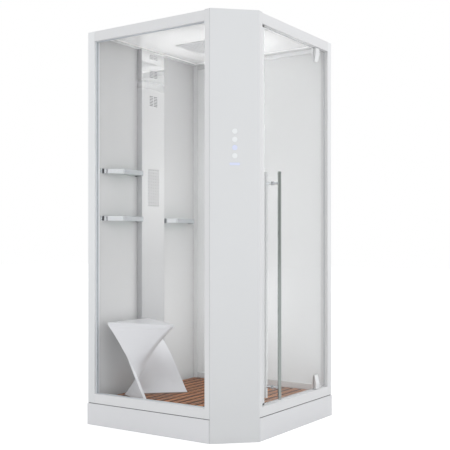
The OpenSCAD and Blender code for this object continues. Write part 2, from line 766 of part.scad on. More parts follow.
// Pivot pins with their flanges, on the bottom and top rails
module pivot_pins() color("silver") translate([glass_c, pivot_y, 0]) {
    translate([0, 0, rail_top]) cylinder(h = flange_h, r = pin_r + 8);
    translate([0, 0, rail_top]) cylinder(h = clamp_gap + pin_depth - 1, r = pin_r);
    translate([0, 0, head_z - flange_h]) cylinder(h = flange_h, r = pin_r + 8);
    translate([0, 0, head_z - clamp_gap - pin_depth + 1]) cylinder(h = clamp_gap + pin_depth - 1, r = pin_r);
}

// Door glass with its two clamp notches and the holes for the handle bolts
module door_glass() color("lightcyan", 0.3) difference() {
    block([glass_in, edge_y0 + edge_lip, door_z0], [glass_out, door_back, door_z1]);
    for (z = [[rail_top, clamp_z0 + core_h], [clamp_z1 - core_h, head_z]])
        block([glass_in - cut, pivot_y - core_w / 2, z[0]], [glass_out + cut, pivot_y + core_w / 2, z[1]]);
    along_x(0, hw) for (z = standoff_z) translate([bar_y, z]) circle(bolt_r + 0.2);
}

module door_edge() color("gainsboro") rise(door_z0 + cap_h / 4, door_z1 - cap_h / 2) difference() {
    rect(glass_c - edge_half, edge_y0, glass_c + edge_half, edge_y1);
    rect(glass_in, edge_y0 + edge_lip, glass_out, edge_y1 + cut);
}

// Black end caps of the closing edge
module door_seals() color("#202428") for (z = [door_z0 - cap_h / 2, door_z1 - cap_h / 2])
    difference() {
        block([glass_c - edge_half, edge_y0, z], [glass_c + edge_half, edge_y1, z + 3 * cap_h / 4]);
        block([glass_in, edge_y0 + edge_lip, door_z0], [glass_out, edge_y1 + cut, door_z1]);
    }

// Clear seal along the pivot edge, and the sweep under the glass in two lengths clear of the clamp
sweeps = [[edge_y1, pivot_y - clamp_w / 2 - 1], [pivot_y + clamp_w / 2 + 1, door_back]];

module door_sweep() color("lightcyan", 0.5) {
    block([glass_in, door_back, door_z0 + 1], [glass_out, fi - air, door_z1]);
    for (y = sweeps) along_y(y[0], y[1]) {
        rect(glass_in, door_z0 - 3, glass_out, door_z0);
        rect(glass_c - 1, rail_top + air, glass_c + 1, door_z0 - 3);
    }
}

// Hinge clamp at a rail: two wedge plates and the core that carries the pin
module clamp_plate() polygon([[0, 0], [clamp_t, 0], [clamp_t, clamp_h * 0.4], [2, clamp_h], [0, clamp_h]]);

module hinge_clamp() translate([glass_c, pivot_y, 0]) difference() {
    union() {
        along_y(-clamp_w / 2, clamp_w / 2) translate([glass_t / 2, 0]) clamp_plate();
        along_y(-clamp_w / 2, clamp_w / 2) mirror([1, 0]) translate([glass_t / 2, 0]) clamp_plate();
        block([-glass_t / 2, -core_w / 2, 0], [glass_t / 2, core_w / 2, core_h]);
    }
    translate([0, 0, -cut]) cylinder(h = pin_depth + cut, r = pin_r + pin_clear);
}

module hinge_clamps() color("gainsboro") {
    translate([0, 0, clamp_z0]) hinge_clamp();
    translate([0, 0, clamp_z1]) mirror([0, 0, 1]) hinge_clamp();
}

// Back-to-back handle bars with bevelled ends
module handle_bar(x) translate([x, bar_y, bar_z]) {
    cylinder(h = 2, r1 = bar_r - 2, r2 = bar_r);
    translate([0, 0, 2]) cylinder(h = bar_len - 4, r = bar_r);
    translate([0, 0, bar_len - 2]) cylinder(h = 2, r1 = bar_r, r2 = bar_r - 2);
}

module handle_bars() color("silver") for (side = [-1, 1]) handle_bar(glass_c + side * bar_off);

module handle_standoffs() color("silver") difference() {
    for (z = standoff_z) {
        along_x(glass_c - bar_off, glass_in) translate([bar_y, z]) circle(standoff_r);
        along_x(glass_in, glass_out) translate([bar_y, z]) circle(bolt_r);
        along_x(glass_out, glass_c + bar_off) translate([bar_y, z]) circle(standoff_r);
    }
    for (side = [-1, 1])
        translate([glass_c + side * bar_off, bar_y, 0]) cylinder(h = bar_z1 + cut, r = bar_r);
}

// Slatted floor: slats along Y on three bearers, cut round the service column and the cut corner
module duck_outline(reach, k) difference() {
    polygon([[-reach, -reach], [k - reach, -reach], [reach, reach - k], [reach, reach], [-reach, reach]]);
    rect(-hw, service_y0 - duck_gap, duck_gap - service_face, service_y1 + duck_gap);
}

slat_count = floor((2 * slats_reach + slat_step - slat_w) / slat_step);
slat_x0 = -(slat_count * slat_step - (slat_step - slat_w)) / 2;
bearer_reach = hw - basin_inset - duck_gap;

// Where y - x reaches the face of the corner profile, less a gap
corner_line = 2 * wall_face - corner_w - 4 - duck_gap;

module duck_slats() color("peru") rise(duck_z - slat_t, duck_z) difference() {
    intersection() {
        duck_outline(slats_reach, k_inner - duck_gap * sqrt(2));
        for (i = [0:slat_count - 1])
            translate([slat_x0 + i * slat_step, -hw]) square([slat_w, cabin_w]);
    }
    polygon([[-hw, corner_line - hw], [hw - corner_line, hw], [-hw, hw]]);
}

module duck_bearers() color("sienna") rise(basin_z, duck_z - slat_t) intersection() {
    duck_outline(bearer_reach, k_basin - duck_gap * sqrt(2));
    for (y = [-0.75, -0.08, 0.75])
        translate([-hw, y * bearer_reach - bearer_w / 2]) square([cabin_w, bearer_w]);
}

// Twisted stool: one bent shell whose fold passes between its two free edges on the way down, so
// the V of the plan turns inside out. The free edges swell towards the door and the rear leg of
// the V leaves the fold turned inwards and bends back out to its edge.
seat_corner = [50 - fi, 14 - fi];
seat_fold = seat_corner + [395, 73];
seat_rear = seat_corner + [4, 344];
foot_front = seat_corner + [270, 4];
foot_fold = seat_corner + [-2, 136];
foot_rear = seat_corner + [257, 392];
fold_reach = 1.5 * stool_t;
fold_steps = 7;
leg_steps = 5;
leg_turn = 46;
front_swell = 20;
rear_swell = 31;

function mix(a, b, t) = a + (b - a) * t;
function unit(v) = v / norm(v);

// Share of the swell of a free edge at height share t
function swell(t) = pow(t, 1.5) * (1 - t) / 0.186;
function turned(v, a) = [v[0] * cos(a) - v[1] * sin(a), v[0] * sin(a) + v[1] * cos(a)];

// Plan of the shell's middle surface at height share t: a straight leg, a fold, a bent leg
function fold_line(t) = let (p = mix(foot_front, seat_corner, t) + [front_swell * swell(t), 0],
    q = mix(foot_rear, seat_rear, t) + [rear_swell * swell(t), 0],
    m = mix(foot_fold, seat_fold, t), reach = fold_reach + 100 * t * (1 - t),
    leave = turned(unit(q - m), 4 * leg_turn * t * (1 - t)),
    a = m + unit(p - m) * reach, b = m + leave * reach, w = norm(a - b) / (2 * reach),
    pull = b + leave * norm(q - b) * 0.5)
    concat([p, mix(p, a, 0.5)], [for (u = [0:fold_steps]) arc_point(a, m, b, w, u / fold_steps)],
        [for (i = [1:leg_steps]) let (u = i / leg_steps) mix(mix(b, pull, u), mix(pull, q, u), u)]);

// Point on the circular arc from a to b whose tangents meet in m
function arc_point(a, m, b, w, u) = (a * (1 - u) ^ 2 + m * 2 * w * u * (1 - u) + b * u ^ 2)
    / ((1 - u) ^ 2 + 2 * w * u * (1 - u) + u ^ 2);

// Outline of the shell in plan: the middle line set off to both sides
function shell_ring(t) = let (c = fold_line(t), n = len(c),
    along = [for (i = [0:n - 1]) unit(c[min(i + 1, n - 1)] - c[max(i - 1, 0)])],
    side = [for (d = along) [-d[1], d[0]] * stool_t / 2])
    concat([for (i = [0:n - 1]) c[i] + side[i]], [for (i = [n - 1:-1:0]) c[i] - side[i]]);

module stool_shell() {
    rings = [for (i = [0:stool_levels]) shell_ring(i / stool_levels)];
    n = len(rings[0]);
    rise_step = (stool_h - seat_t) / stool_levels;
    points = [for (i = [0:stool_levels], p = rings[i]) [p[0], p[1], duck_z + i * rise_step]];
    top = stool_levels * n;
    walls = [for (i = [0:stool_levels - 1], j = [0:n - 1]) [i * n + j, i * n + (j + 1) % n]];
    under = [for (j = [0:n / 2 - 2], f = [[j, n - 1 - j, j + 1], [j + 1, n - 1 - j, n - 2 - j]]) f];
    faces = concat([for (w = walls) [w[0], w[1], w[0] + n]], [for (w = walls) [w[1], w[1] + n, w[0] + n]],
        under, [for (f = under) [top + f[0], top + f[2], top + f[1]]]);
    polyhedron(points, faces, convexity = 6);
}

module stool() color("white") {
    stool_shell();
    rise(duck_z + stool_h - seat_t, duck_z + stool_h) {
        polygon([seat_corner, seat_fold, seat_rear]);
        polygon(shell_ring(1));
    }
}

shower_tray();
tray_feet();
waste_trap();
drain_cover();
base_seal();
sill_front();
sill_door();
sill_left();
sill_back();
head_front();
head_door();
head_left();
head_back();
post_front_left();
post_back_left();
post_back_right();
fixed_glass();
glass_gasket();
column_panel();
column_stile_front();
column_stile_door();
column_inner_panel();
column_cap();
strike_seal();
touch_lights();
control_box();
mixer_body();
mixer_plate();
wall_panel_front();
wall_panel_rear();
wall_panel_back();
wall_trims();
corner_profile();
service_cover();
service_back();
jet_nozzles();
jet_manifold();
speaker();
steam_generator();
steam_outlet();
water_pipes();
shelf_rails();
shelf_plates();
ceiling();
light_strips();
rain_plate();
rain_nozzles();
pivot_pins();
door_glass();
door_edge();
door_seals();
door_sweep();
hinge_clamps();
handle_bars();
handle_standoffs();
knob_temperature();
knob_flow();
duck_slats();
duck_bearers();
stool();
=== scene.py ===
# %% [markdown]
# # A steam shower cabin, dressed step by step
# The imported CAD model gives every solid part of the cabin: tray, frame, panels, glass, door,
# shelves, floor and stool. This file adds the looks. It could rebuild everything in Blender, but
# the solids already have the right sizes, so most steps copy a solid, soften its edges and give it
# a finish. Pieces whose form is richer than the solid are built from their own curves.

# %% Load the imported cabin
import bpy
import bmesh
import json
import math
from mathutils import Vector, Matrix


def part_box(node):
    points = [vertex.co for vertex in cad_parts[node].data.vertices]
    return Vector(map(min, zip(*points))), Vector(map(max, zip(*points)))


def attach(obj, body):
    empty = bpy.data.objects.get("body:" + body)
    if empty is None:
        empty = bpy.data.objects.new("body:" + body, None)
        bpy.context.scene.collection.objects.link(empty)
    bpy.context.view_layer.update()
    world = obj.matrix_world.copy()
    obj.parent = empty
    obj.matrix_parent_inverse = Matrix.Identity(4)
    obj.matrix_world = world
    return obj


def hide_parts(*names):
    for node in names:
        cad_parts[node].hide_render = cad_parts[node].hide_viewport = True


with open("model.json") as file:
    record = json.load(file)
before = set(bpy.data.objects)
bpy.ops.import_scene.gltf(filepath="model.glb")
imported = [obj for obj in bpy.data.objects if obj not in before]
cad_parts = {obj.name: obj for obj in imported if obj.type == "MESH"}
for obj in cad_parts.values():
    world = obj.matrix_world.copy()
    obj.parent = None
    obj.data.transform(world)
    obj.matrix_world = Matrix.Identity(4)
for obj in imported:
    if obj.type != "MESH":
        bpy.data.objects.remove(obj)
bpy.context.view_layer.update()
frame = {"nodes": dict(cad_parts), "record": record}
solids = frame["nodes"]
finish_of = {part["node"]: part["material_slot"] for part in frame["record"]["subparts"]}
bodies = frame["record"]["behaviour"]["bodies"]
body_of = {node: body for body, members in bodies.items() for node in members}

# %% [markdown]
# ## Camera
# The photograph looks at the cut-off corner from a low point, about as high as the middle of the
# cabin, and its upright edges stay parallel. So the camera is level and the picture is shifted a
# little instead of tilting the camera, which is what an architectural lens does.

# %% Level camera with a small shift
PHOTO_PIXELS = 450
FOCAL_PIXELS = 832.4
VIEW_CENTRE = (201.19, 245.92)
CAMERA_PLACE = (2.652, -3.918, 0.986)
CAMERA_TURN = math.radians(34.895)

lens_data = bpy.data.cameras.new("level_camera")
lens_data.sensor_width = 36
lens_data.lens = FOCAL_PIXELS / PHOTO_PIXELS * lens_data.sensor_width
lens_data.shift_x = 0.5 - VIEW_CENTRE[0] / PHOTO_PIXELS
lens_data.shift_y = VIEW_CENTRE[1] / PHOTO_PIXELS - 0.5
camera = bpy.data.objects.new("level_camera", lens_data)
camera.location = CAMERA_PLACE
camera.rotation_euler = (math.radians(90), 0, CAMERA_TURN)
bpy.context.collection.objects.link(camera)
bpy.context.scene.camera = camera
bpy.context.scene.view_settings.view_transform = "Standard"
print("lens", round(lens_data.lens, 2), "mm")

# %% [markdown]
# ## Small helpers for shader nodes
# A procedural finish is a chain of shader nodes. Placing and wiring them by hand takes three or
# four lines a node, so a few helpers do it: they put a node or a group down with its values, and
# add a step of arithmetic or a ramp between two values. Colours are written as they look on a
# screen, where they are easy to compare with the photograph.

# %% Place shader nodes, and read colours as they look on a screen
def put(tree, kind, **values):
    """A new node, whose properties or unlinked inputs take the given values or sockets."""
    node = tree.nodes.new("ShaderNode" + kind)
    for name, value in values.items():
        if name in node.bl_rna.properties:
            setattr(node, name, value)
            continue
        key = int(name[3:]) if name.startswith("in_") else name.replace("_", " ")
        if isinstance(value, bpy.types.NodeSocket):
            tree.links.new(value, node.inputs[key])
        else:
            node.inputs[key].default_value = value
    return node


def screen(red, green, blue):
    """A colour given as screen values of 0 to 255, as Blender's linear colour."""
    def linear(value):
        value /= 255
        return value / 12.92 if value <= 0.04045 else ((value + 0.055) / 1.055) ** 2.4
    return (linear(red), linear(green), linear(blue), 1)


def new_group(name, inputs, outputs):
    """A shader node group; inputs and outputs are (name, kind, default) and (name, kind)."""
    tree = bpy.data.node_groups.new(name, "ShaderNodeTree")
    for label, kind, default in inputs:
        socket = tree.interface.new_socket(label, in_out="INPUT", socket_type="NodeSocket" + kind)
        socket.default_value = default
    for label, kind in outputs:
        tree.interface.new_socket(label, in_out="OUTPUT", socket_type="NodeSocket" + kind)
    return tree, tree.nodes.new("NodeGroupInput").outputs, tree.nodes.new("NodeGroupOutput").inputs


def place(tree, group, **values):
    """The group as a node of a material, with its own values."""
    return put(tree, "Group", node_tree=group, **values)


def calc(tree, operation, *terms, **more):
    """One step of arithmetic on sockets and numbers; gives the socket of its result."""
    inputs = {f"in_{i}": term for i, term in enumerate(terms)}
    return put(tree, "Math", operation=operation, **inputs, **more).outputs[0]


def ramp(tree, value, start, end, low=0.0, high=1.0):
    """The value, turned into one that goes from low at start to high at end, and no further."""
    return put(tree, "MapRange", Value=value, From_Min=start, From_Max=end, To_Min=low,
               To_Max=high).outputs[0]


def around(tree, middle, spread, noise, **more):
    """A value around the middle, which a noise of 0 to 1 moves by the spread in all."""
    lowest = calc(tree, "MULTIPLY_ADD", spread, -0.5, middle)
    return calc(tree, "MULTIPLY_ADD", noise, spread, lowest, **more)


print("white paint of screen value 225 is", round(screen(225, 225, 225)[0], 3), "in linear light")

# %% [markdown]
# ## Effects that several finishes share
# Paint, acrylic and aluminium all drift a little in colour and show a fine surface grain. They get
# painted shade with a trace of dust in corners, and turn lighter along edges, where they polish up
# and wear and where a painted highlight lies. Each of these is one node group that puts out a
# colour, a mask, a roughness or a normal, so every material can use it with its own strength. The
# first is the drift: no large panel has one even tone, because the paint lies a little thicker here
# and there. Painted spots would fit one panel only, so a large soft noise scales the brightness by
# a few percent.

# %% Group: slow colour drift over a large panel
drift, given, gives = new_group("slow_drift",
    [("Color", "Color", (0.8, 0.8, 0.8, 1)), ("Size", "Float", 2.0), ("Amount", "Float", 0.03)],
    [("Color", "Color")])
coords = put(drift, "TexCoord").outputs["Object"]
cloud = put(drift, "TexNoise", Vector=coords, Scale=given["Size"], Detail=2.0, Roughness=0.45)
swing = around(drift, 1.0, given["Amount"], cloud.outputs["Fac"])
tint = put(drift, "HueSaturation", Color=given["Color"], Value=swing)
drift.links.new(tint.outputs["Color"], gives["Color"])
print("slow_drift:", len(drift.nodes), "nodes")

# %% [markdown]
# ### Grain
# Sprayed paint dries like the skin of an orange, and moulded plastic carries the grain of its
# mould. As real geometry that would take millions of faces. A fine noise feeds a bump instead, and
# a second, wider noise moves the roughness, as a wiping cloth does.

# %% Group: fine grain of a sprayed, moulded or cast surface
grain, given, gives = new_group("fine_grain",
    [("Grain", "Float", 900.0), ("Depth", "Float", 0.15), ("Roughness", "Float", 0.4),
     ("Spread", "Float", 0.08)],
    [("Normal", "Vector"), ("Roughness", "Float")])
coords = put(grain, "TexCoord").outputs["Object"]
peel = put(grain, "TexNoise", Vector=coords, Scale=given["Grain"], Detail=3.0)
smears = put(grain, "TexNoise", Vector=coords, Scale=7.0, Detail=4.0, Distortion=0.6)
bump = put(grain, "Bump", Strength=given["Depth"], Distance=0.0003, Height=peel.outputs["Fac"])
rough = around(grain, given["Roughness"], given["Spread"], smears.outputs["Fac"], use_clamp=True)
grain.links.new(bump.outputs["Normal"], gives["Normal"])
grain.links.new(rough, gives["Roughness"])
print("fine_grain:", len(grain.nodes), "nodes")

# %% [markdown]
# ### Rubbed and lit edges
# Hands and cleaning cloths polish paint along its edges first, and the lighter colour there is also
# a painted highlight, the line of light that a rounded edge catches. A hand-painted mask would have
# to be drawn for every piece. The Bevel node gives the normal that a rounded edge would have, and
# where it differs from the true one there is an edge. A noise breaks the line up, because nothing
# wears evenly.

# %% Group: mask of edges that get rubbed and carry a painted highlight
edges, given, gives = new_group("rubbed_lit_edges",
    [("Width", "Float", 0.002), ("Strength", "Float", 0.5)], [("Mask", "Float")])
coords = put(edges, "TexCoord").outputs["Object"]
rounded = put(edges, "Bevel", samples=4, Radius=given["Width"])
flat = put(edges, "NewGeometry")
angle = put(edges, "VectorMath", operation="DOT_PRODUCT", in_0=rounded.outputs["Normal"],
            in_1=flat.outputs["Normal"])
turned = ramp(edges, angle.outputs["Value"], 1.0, 0.75)
patchy = put(edges, "TexNoise", Vector=coords, Scale=38.0, Detail=5.0)
broken = ramp(edges, patchy.outputs["Fac"], 0.4, 0.65)
worn_and_lit = calc(edges, "MULTIPLY", calc(edges, "MULTIPLY", turned, broken), given["Strength"])
edges.links.new(worn_and_lit, gives["Mask"])
print("rubbed_lit_edges:", len(edges.nodes), "nodes")

# %% [markdown]
# ### Painted shade and film in corners
# This mask darkens corners, recesses and the gaps between parts. It is painted shade, with a trace
# of the soap and dust that stay where a cloth doesn't reach. Ambient occlusion finds those places
# by
# itself: it is low where other surfaces stand close. A blotchy noise keeps the darkening from
# looking like a drawn outline.

# %% Group: mask of painted shade and soap film in corners
corners, given, gives = new_group("corner_shade_and_film",
    [("Reach", "Float", 0.03), ("Strength", "Float", 0.4)], [("Mask", "Float")])
coords = put(corners, "TexCoord").outputs["Object"]
open_air = put(corners, "AmbientOcclusion", samples=6, Distance=given["Reach"])
closed = ramp(corners, open_air.outputs["AO"], 0.9, 0.35)
blotch = put(corners, "TexNoise", Vector=coords, Scale=22.0, Detail=6.0)
uneven = ramp(corners, blotch.outputs["Fac"], 0.3, 0.7, low=0.5)
film_and_shade = calc(corners, "MULTIPLY", calc(corners, "MULTIPLY", closed, uneven), given["Strength"])
corners.links.new(film_and_shade, gives["Mask"])
print("corner_shade_and_film:", len(corners.nodes), "nodes")

# %% [markdown]
# ### Drawn lines
# Extruded and brushed metal carries fine lines along its length, and they stretch every
# reflection. The Anisotropic socket could do that, but it needs a direction on each face.
# Coordinates that are stretched before they reach the noise draw the lines themselves.

# %% Group: drawn lines of brushed or extruded metal
lines, given, gives = new_group("drawn_lines",
    [("Across", "Vector", (900.0, 900.0, 6.0)), ("Depth", "Float", 0.2),
     ("Roughness", "Float", 0.3), ("Spread", "Float", 0.15)],
    [("Normal", "Vector"), ("Roughness", "Float")])
coords = put(lines, "TexCoord").outputs["Object"]
stretched = put(lines, "VectorMath", operation="MULTIPLY", in_0=coords, in_1=given["Across"])
streaks = put(lines, "TexNoise", Vector=stretched.outputs[0], Scale=1.0, Detail=3.0)
bump = put(lines, "Bump", Strength=given["Depth"], Distance=0.0002, Height=streaks.outputs["Fac"])
rough = around(lines, given["Roughness"], given["Spread"], streaks.outputs["Fac"], use_clamp=True)
lines.links.new(bump.outputs["Normal"], gives["Normal"])
lines.links.new(rough, gives["Roughness"])
print("drawn_lines:", len(lines.nodes), "nodes")

# %% [markdown]
# ### Dried drops
# Water that dries on glass leaves round marks of lime. Scattered discs would be a lot of mesh for
# a mark that only shows in a reflection. A Voronoi pattern gives round cells, a random value per
# cell keeps a few of them, and inside those the surface turns a little rougher.

# %% Group: dried water spots on glass
spots, given, gives = new_group("dried_spots",
    [("Size", "Float", 70.0), ("Roughness", "Float", 0.02), ("Amount", "Float", 0.06)],
    [("Roughness", "Float"), ("Mask", "Float")])
coords = put(spots, "TexCoord").outputs["Object"]
drops = put(spots, "TexVoronoi", Vector=coords, Scale=given["Size"], feature="F1")
rings = ramp(spots, drops.outputs["Distance"], 0.32, 0.2)
chosen = put(spots, "SeparateColor", Color=drops.outputs["Color"])
few = calc(spots, "GREATER_THAN", chosen.outputs[0], 0.72)
mask = calc(spots, "MULTIPLY", rings, few)
rough = calc(spots, "MULTIPLY_ADD", mask, given["Amount"], given["Roughness"])
spots.links.new(rough, gives["Roughness"])
spots.links.new(mask, gives["Mask"])
print("dried_spots:", len(spots.nodes), "nodes")

# %% [markdown]
# ### Height and facing
# Splashes, dust and lime gather low on a wall, and a face that turns away from the room is wiped
# less than its neighbour. Both could be painted by hand, piece by piece. The place and the normal
# of a point already say it, so one group turns height into a value between two heights, and
# another marks the faces that look along an axis, or along it both ways.

# %% Group: a value that changes with height
heights, given, gives = new_group("by_height",
    [("Start Height", "Float", 1.0), ("End Height", "Float", 0.0), ("Start Value", "Float", 0.0),
     ("End Value", "Float", 1.0)], [("Value", "Float")])
point = put(heights, "SeparateXYZ", Vector=put(heights, "TexCoord").outputs["Object"])
value = ramp(heights, point.outputs["Z"], given["Start Height"], given["End Height"],
             given["Start Value"], given["End Value"])
heights.links.new(value, gives["Value"])
print("by_height:", len(heights.nodes), "nodes")

# %% Group: mask of faces that look along an axis
facings, given, gives = new_group("faces_along",
    [("Axis", "Vector", (0.0, 1.0, 0.0)), ("Both Ways", "Float", 1.0), ("None Below", "Float", 0.6),
     ("Full Above", "Float", 0.9)], [("Mask", "Float")])
normal = put(facings, "NewGeometry").outputs["True Normal"]
along = put(facings, "VectorMath", operation="DOT_PRODUCT", in_0=normal, in_1=given["Axis"])
ahead = along.outputs["Value"]
behind = calc(facings, "MULTIPLY", ahead, calc(facings, "MULTIPLY", given["Both Ways"], -1.0))
mask = ramp(facings, calc(facings, "MAXIMUM", ahead, behind), given["None Below"],
            given["Full Above"])
facings.links.new(mask, gives["Mask"])
print("effect groups:", ", ".join(g.name for g in bpy.data.node_groups))

# %% [markdown]
# ## Finishes
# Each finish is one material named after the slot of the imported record. Nearly all of them are a
# Principled shader that takes its colour from the slow drift and its roughness and normal from a
# grain group, so one function sets these up. The few that show more, such as the posts, the
# columns, the stool, glass, wood and lights, add it in a cell of their own.

# %% Start a material and give it its shader
finishes = {}


def start_finish(name, **shader_values):
    """A new material with a Principled shader, whose own sockets take the constant values."""
    material = bpy.data.materials.new(name)
    material.use_nodes = True
    tree = material.node_tree
    shader = tree.nodes["Principled BSDF"]
    for label, value in shader_values.items():
        shader.inputs[label.replace("_", " ")].default_value = value
    finishes[name] = material
    return tree, shader


def join(tree, source, shader, socket):
    tree.links.new(source, shader.inputs[socket])


def dress(tree, shader, colour, surface):
    """Gives the shader a colour, and the roughness and normal of a grain or line group."""
    join(tree, colour, shader, "Base Color")
    for socket in ("Roughness", "Normal"):
        join(tree, surface.outputs[socket], shader, socket)


def blend_towards(tree, colour, mask, towards_colour):
    """The colour, turned towards the other given one where the mask is high."""
    mix = put(tree, "MixRGB", Fac=mask, Color1=colour, Color2=towards_colour)
    return mix.outputs[0]


def shade(colour, share):
    """The colour with its light scaled down to a share."""
    return tuple(share * part for part in colour[:3]) + (1,)


print("half of white paint:", [round(part, 3) for part in shade(screen(225, 225, 225), 0.5)[:3]])

# %% [markdown]
# ## Paint, acrylic, plastic and rubber
# The frame is powder-coated aluminium, the tray, the panels and the column are acrylic, the stool
# is moulded plastic. All are smooth and nearly white, and what tells them apart is how fine their
# grain is, how sharp their gloss is, and how far the painted shade and soap film reach out of their
# corners. A table of these few values keeps the finishes side by side, where they are easy to
# compare.

# %% Smooth finishes from a table
EDGE_RUB_AND_HIGHLIGHT = dict(Width=0.0015, Strength=0.35)


def smooth_finish(name, colour, rough, depth, fine, coat, spread=0.1, film_and_shade=(0.006, 0.55)):
    """A painted or moulded finish; gives its tree, shader, and colour and roughness sockets."""
    tree, shader = start_finish(name, Coat_Weight=coat, Coat_Roughness=0.04)
    shown = place(tree, drift, Color=colour, Size=1.7, Amount=0.035).outputs[0]
    # Painted shade darkens the corners, with a trace of film.
    corner_shaded = place(tree, corners, Reach=film_and_shade[0], Strength=film_and_shade[1]).outputs[0]
    # Edges turn lighter: wear, and a painted highlight.
    rubbed_and_lit = place(tree, edges, **EDGE_RUB_AND_HIGHLIGHT).outputs[0]
    polished_highlight = tuple(min(1, 0.1 + part) for part in colour[:3]) + (1,)
    shown = blend_towards(tree, blend_towards(tree, shown, corner_shaded, shade(colour, 0.7)), rubbed_and_lit, polished_highlight)
    surface = place(tree, grain, Grain=fine, Depth=depth, Roughness=rough, Spread=spread)
    dress(tree, shader, shown, surface)
    return tree, shader, shown, surface.outputs["Roughness"]


COATED = dict(rough=0.34, depth=0.16, fine=1400, coat=0.15)
PANEL = dict(rough=0.3, depth=0.03, fine=180, coat=0.4, film_and_shade=(0.08, 0.65))
# The posts are the frame's powder coat in a lighter white: painted light, as they stand brighter
# lit.
LIT_POST_COLOUR = screen(239, 240, 241)
COLUMN_COLOUR = screen(231, 232, 233)
SMOOTH_FINISHES = {
    "frame_white": dict(colour=screen(230, 230, 231), **COATED),
    "post_white_lit": dict(colour=LIT_POST_COLOUR, **COATED),
    "tray_white": dict(colour=screen(229, 229, 231), rough=0.26, depth=0.05, fine=260, coat=0.4,
                       spread=0.02),
    "column_white": dict(colour=COLUMN_COLOUR, rough=0.24, depth=0.04, fine=240, coat=0.5),
    "service_white": dict(colour=screen(246, 246, 246), rough=0.06, depth=0.01, fine=220, coat=1,
                          film_and_shade=(0.06, 0.9)),
    "ceiling_white": dict(colour=screen(239, 239, 239), rough=0.16, depth=0.03, fine=200,
                          coat=0.7),
    "stool_white": dict(colour=screen(233, 233, 236), rough=0.38, depth=0.1, fine=700, coat=0.2),
    "wall_grey": dict(colour=screen(218, 218, 218), **PANEL),
    "wall_pale": dict(colour=screen(236, 237, 237), **PANEL),
    "trap_plastic": dict(colour=screen(224, 223, 218), rough=0.5, depth=0.15, fine=900, coat=0),
    "dark_plastic": dict(colour=screen(48, 49, 52), rough=0.5, depth=0.3, fine=1100, coat=0),
    "gasket_grey": dict(colour=screen(220, 224, 229), rough=0.5, depth=0.2, fine=1200, coat=0),
    "seal_dark": dict(colour=screen(52, 54, 58), rough=0.66, depth=0.2, fine=1200, coat=0),
    "nozzle_grey": dict(colour=screen(8, 9, 11), rough=0.8, depth=0.15, fine=1300, coat=0),
}
smooth = {name: smooth_finish(name, **look) for name, look in SMOOTH_FINISHES.items()}
print(len(smooth), "smooth finishes")

# %% [markdown]
# ### Painted shade low on the posts and the column
# Posts and column darken a little downwards: painted shade for the lower light near the floor. The
# face of the rear post at the hinge side of the door looks into a narrow gap, and is painted a
# shaded grey.

# %% Painted shade at the foot, and on the post's face in the hinge gap
FOOT_SHADE_HEIGHTS = dict(Start_Height=1.0, End_Height=0.15)
REAR_Y = 0.4

foot_shaded = {}
for name, own in (("post_white_lit", LIT_POST_COLOUR), ("column_white", COLUMN_COLOUR)):
    tree, shader, colour, roughness = smooth[name]
    # Painted shade, darker towards the floor.
    lower_shade = place(tree, heights, **FOOT_SHADE_HEIGHTS).outputs[0]
    foot_shaded[name] = blend_towards(tree, colour, lower_shade, shade(own, 0.9))
    join(tree, foot_shaded[name], shader, "Base Color")
tree, shader = smooth["post_white_lit"][:2]
# The rear post's face in the hinge gap: painted shade.
shaded_jamb = place(tree, facings, Axis=(0.0, -1.0, 0.0), Both_Ways=0.0).outputs[0]
point = put(tree, "SeparateXYZ", Vector=put(tree, "TexCoord").outputs["Object"])
shaded_jamb = calc(tree, "MULTIPLY", shaded_jamb, calc(tree, "GREATER_THAN", point.outputs["Y"], REAR_Y))
join(tree, blend_towards(tree, foot_shaded["post_white_lit"], shaded_jamb, screen(219, 219, 219)), shader, "Base Color")
print("dust below", FOOT_SHADE_HEIGHTS["Start_Height"], "m on", ", ".join(foot_shaded))

# %% [markdown]
# ### Painted shadow at the foot of the stool
# Where the stool stands on the boards, a thin brown line is painted along its lower edge: the
# contact shadow under it. A separate ring of mesh would show as a step, so the colour changes over
# the last three millimetres.

# %% Painted contact shadow at the foot
CONTACT_SHADOW_HEIGHTS = dict(Start_Height=0.1515, End_Height=0.1485)

tree, shader, colour, roughness = smooth["stool_white"]
# A painted contact shadow along the lower edge.
contact_shadow = place(tree, heights, **CONTACT_SHADOW_HEIGHTS).outputs[0]
join(tree, blend_towards(tree, colour, contact_shadow, screen(122, 96, 82)), shader, "Base Color")
print("stool stained below", CONTACT_SHADOW_HEIGHTS["Start_Height"], "m")

# %% [markdown]
# ### The service column: polished above, filmed with lime below
# The column that holds jets and louvres is a high-gloss moulding. Its top mirrors the lit ceiling.
# Spray reaches it from about two metres down, where lime makes it dull and a shade darker. Lower
# down it turns darker still towards the foot. Two materials would meet in a hard line, so one
# material changes with height: less mirror, more roughness, more film. Its side faces look along
# the wall and are painted a shaded grey.

# %% Polish, lime, a darker foot, and painted shade on the side faces of the service column
LIME_HEIGHTS = dict(Start_Height=1.97, End_Height=1.9)

tree, shader, colour, roughness = smooth["service_white"]
mirror = place(tree, heights, **LIME_HEIGHTS, Start_Value=0.85, End_Value=0.1).outputs[0]
dulled = place(tree, heights, **LIME_HEIGHTS, End_Value=0.26).outputs[0]
limed = place(tree, heights, **LIME_HEIGHTS).outputs[0]
# Side faces along the wall: painted shade.
shaded_sides = place(tree, facings, Axis=(0.0, 1.0, 0.0)).outputs[0]
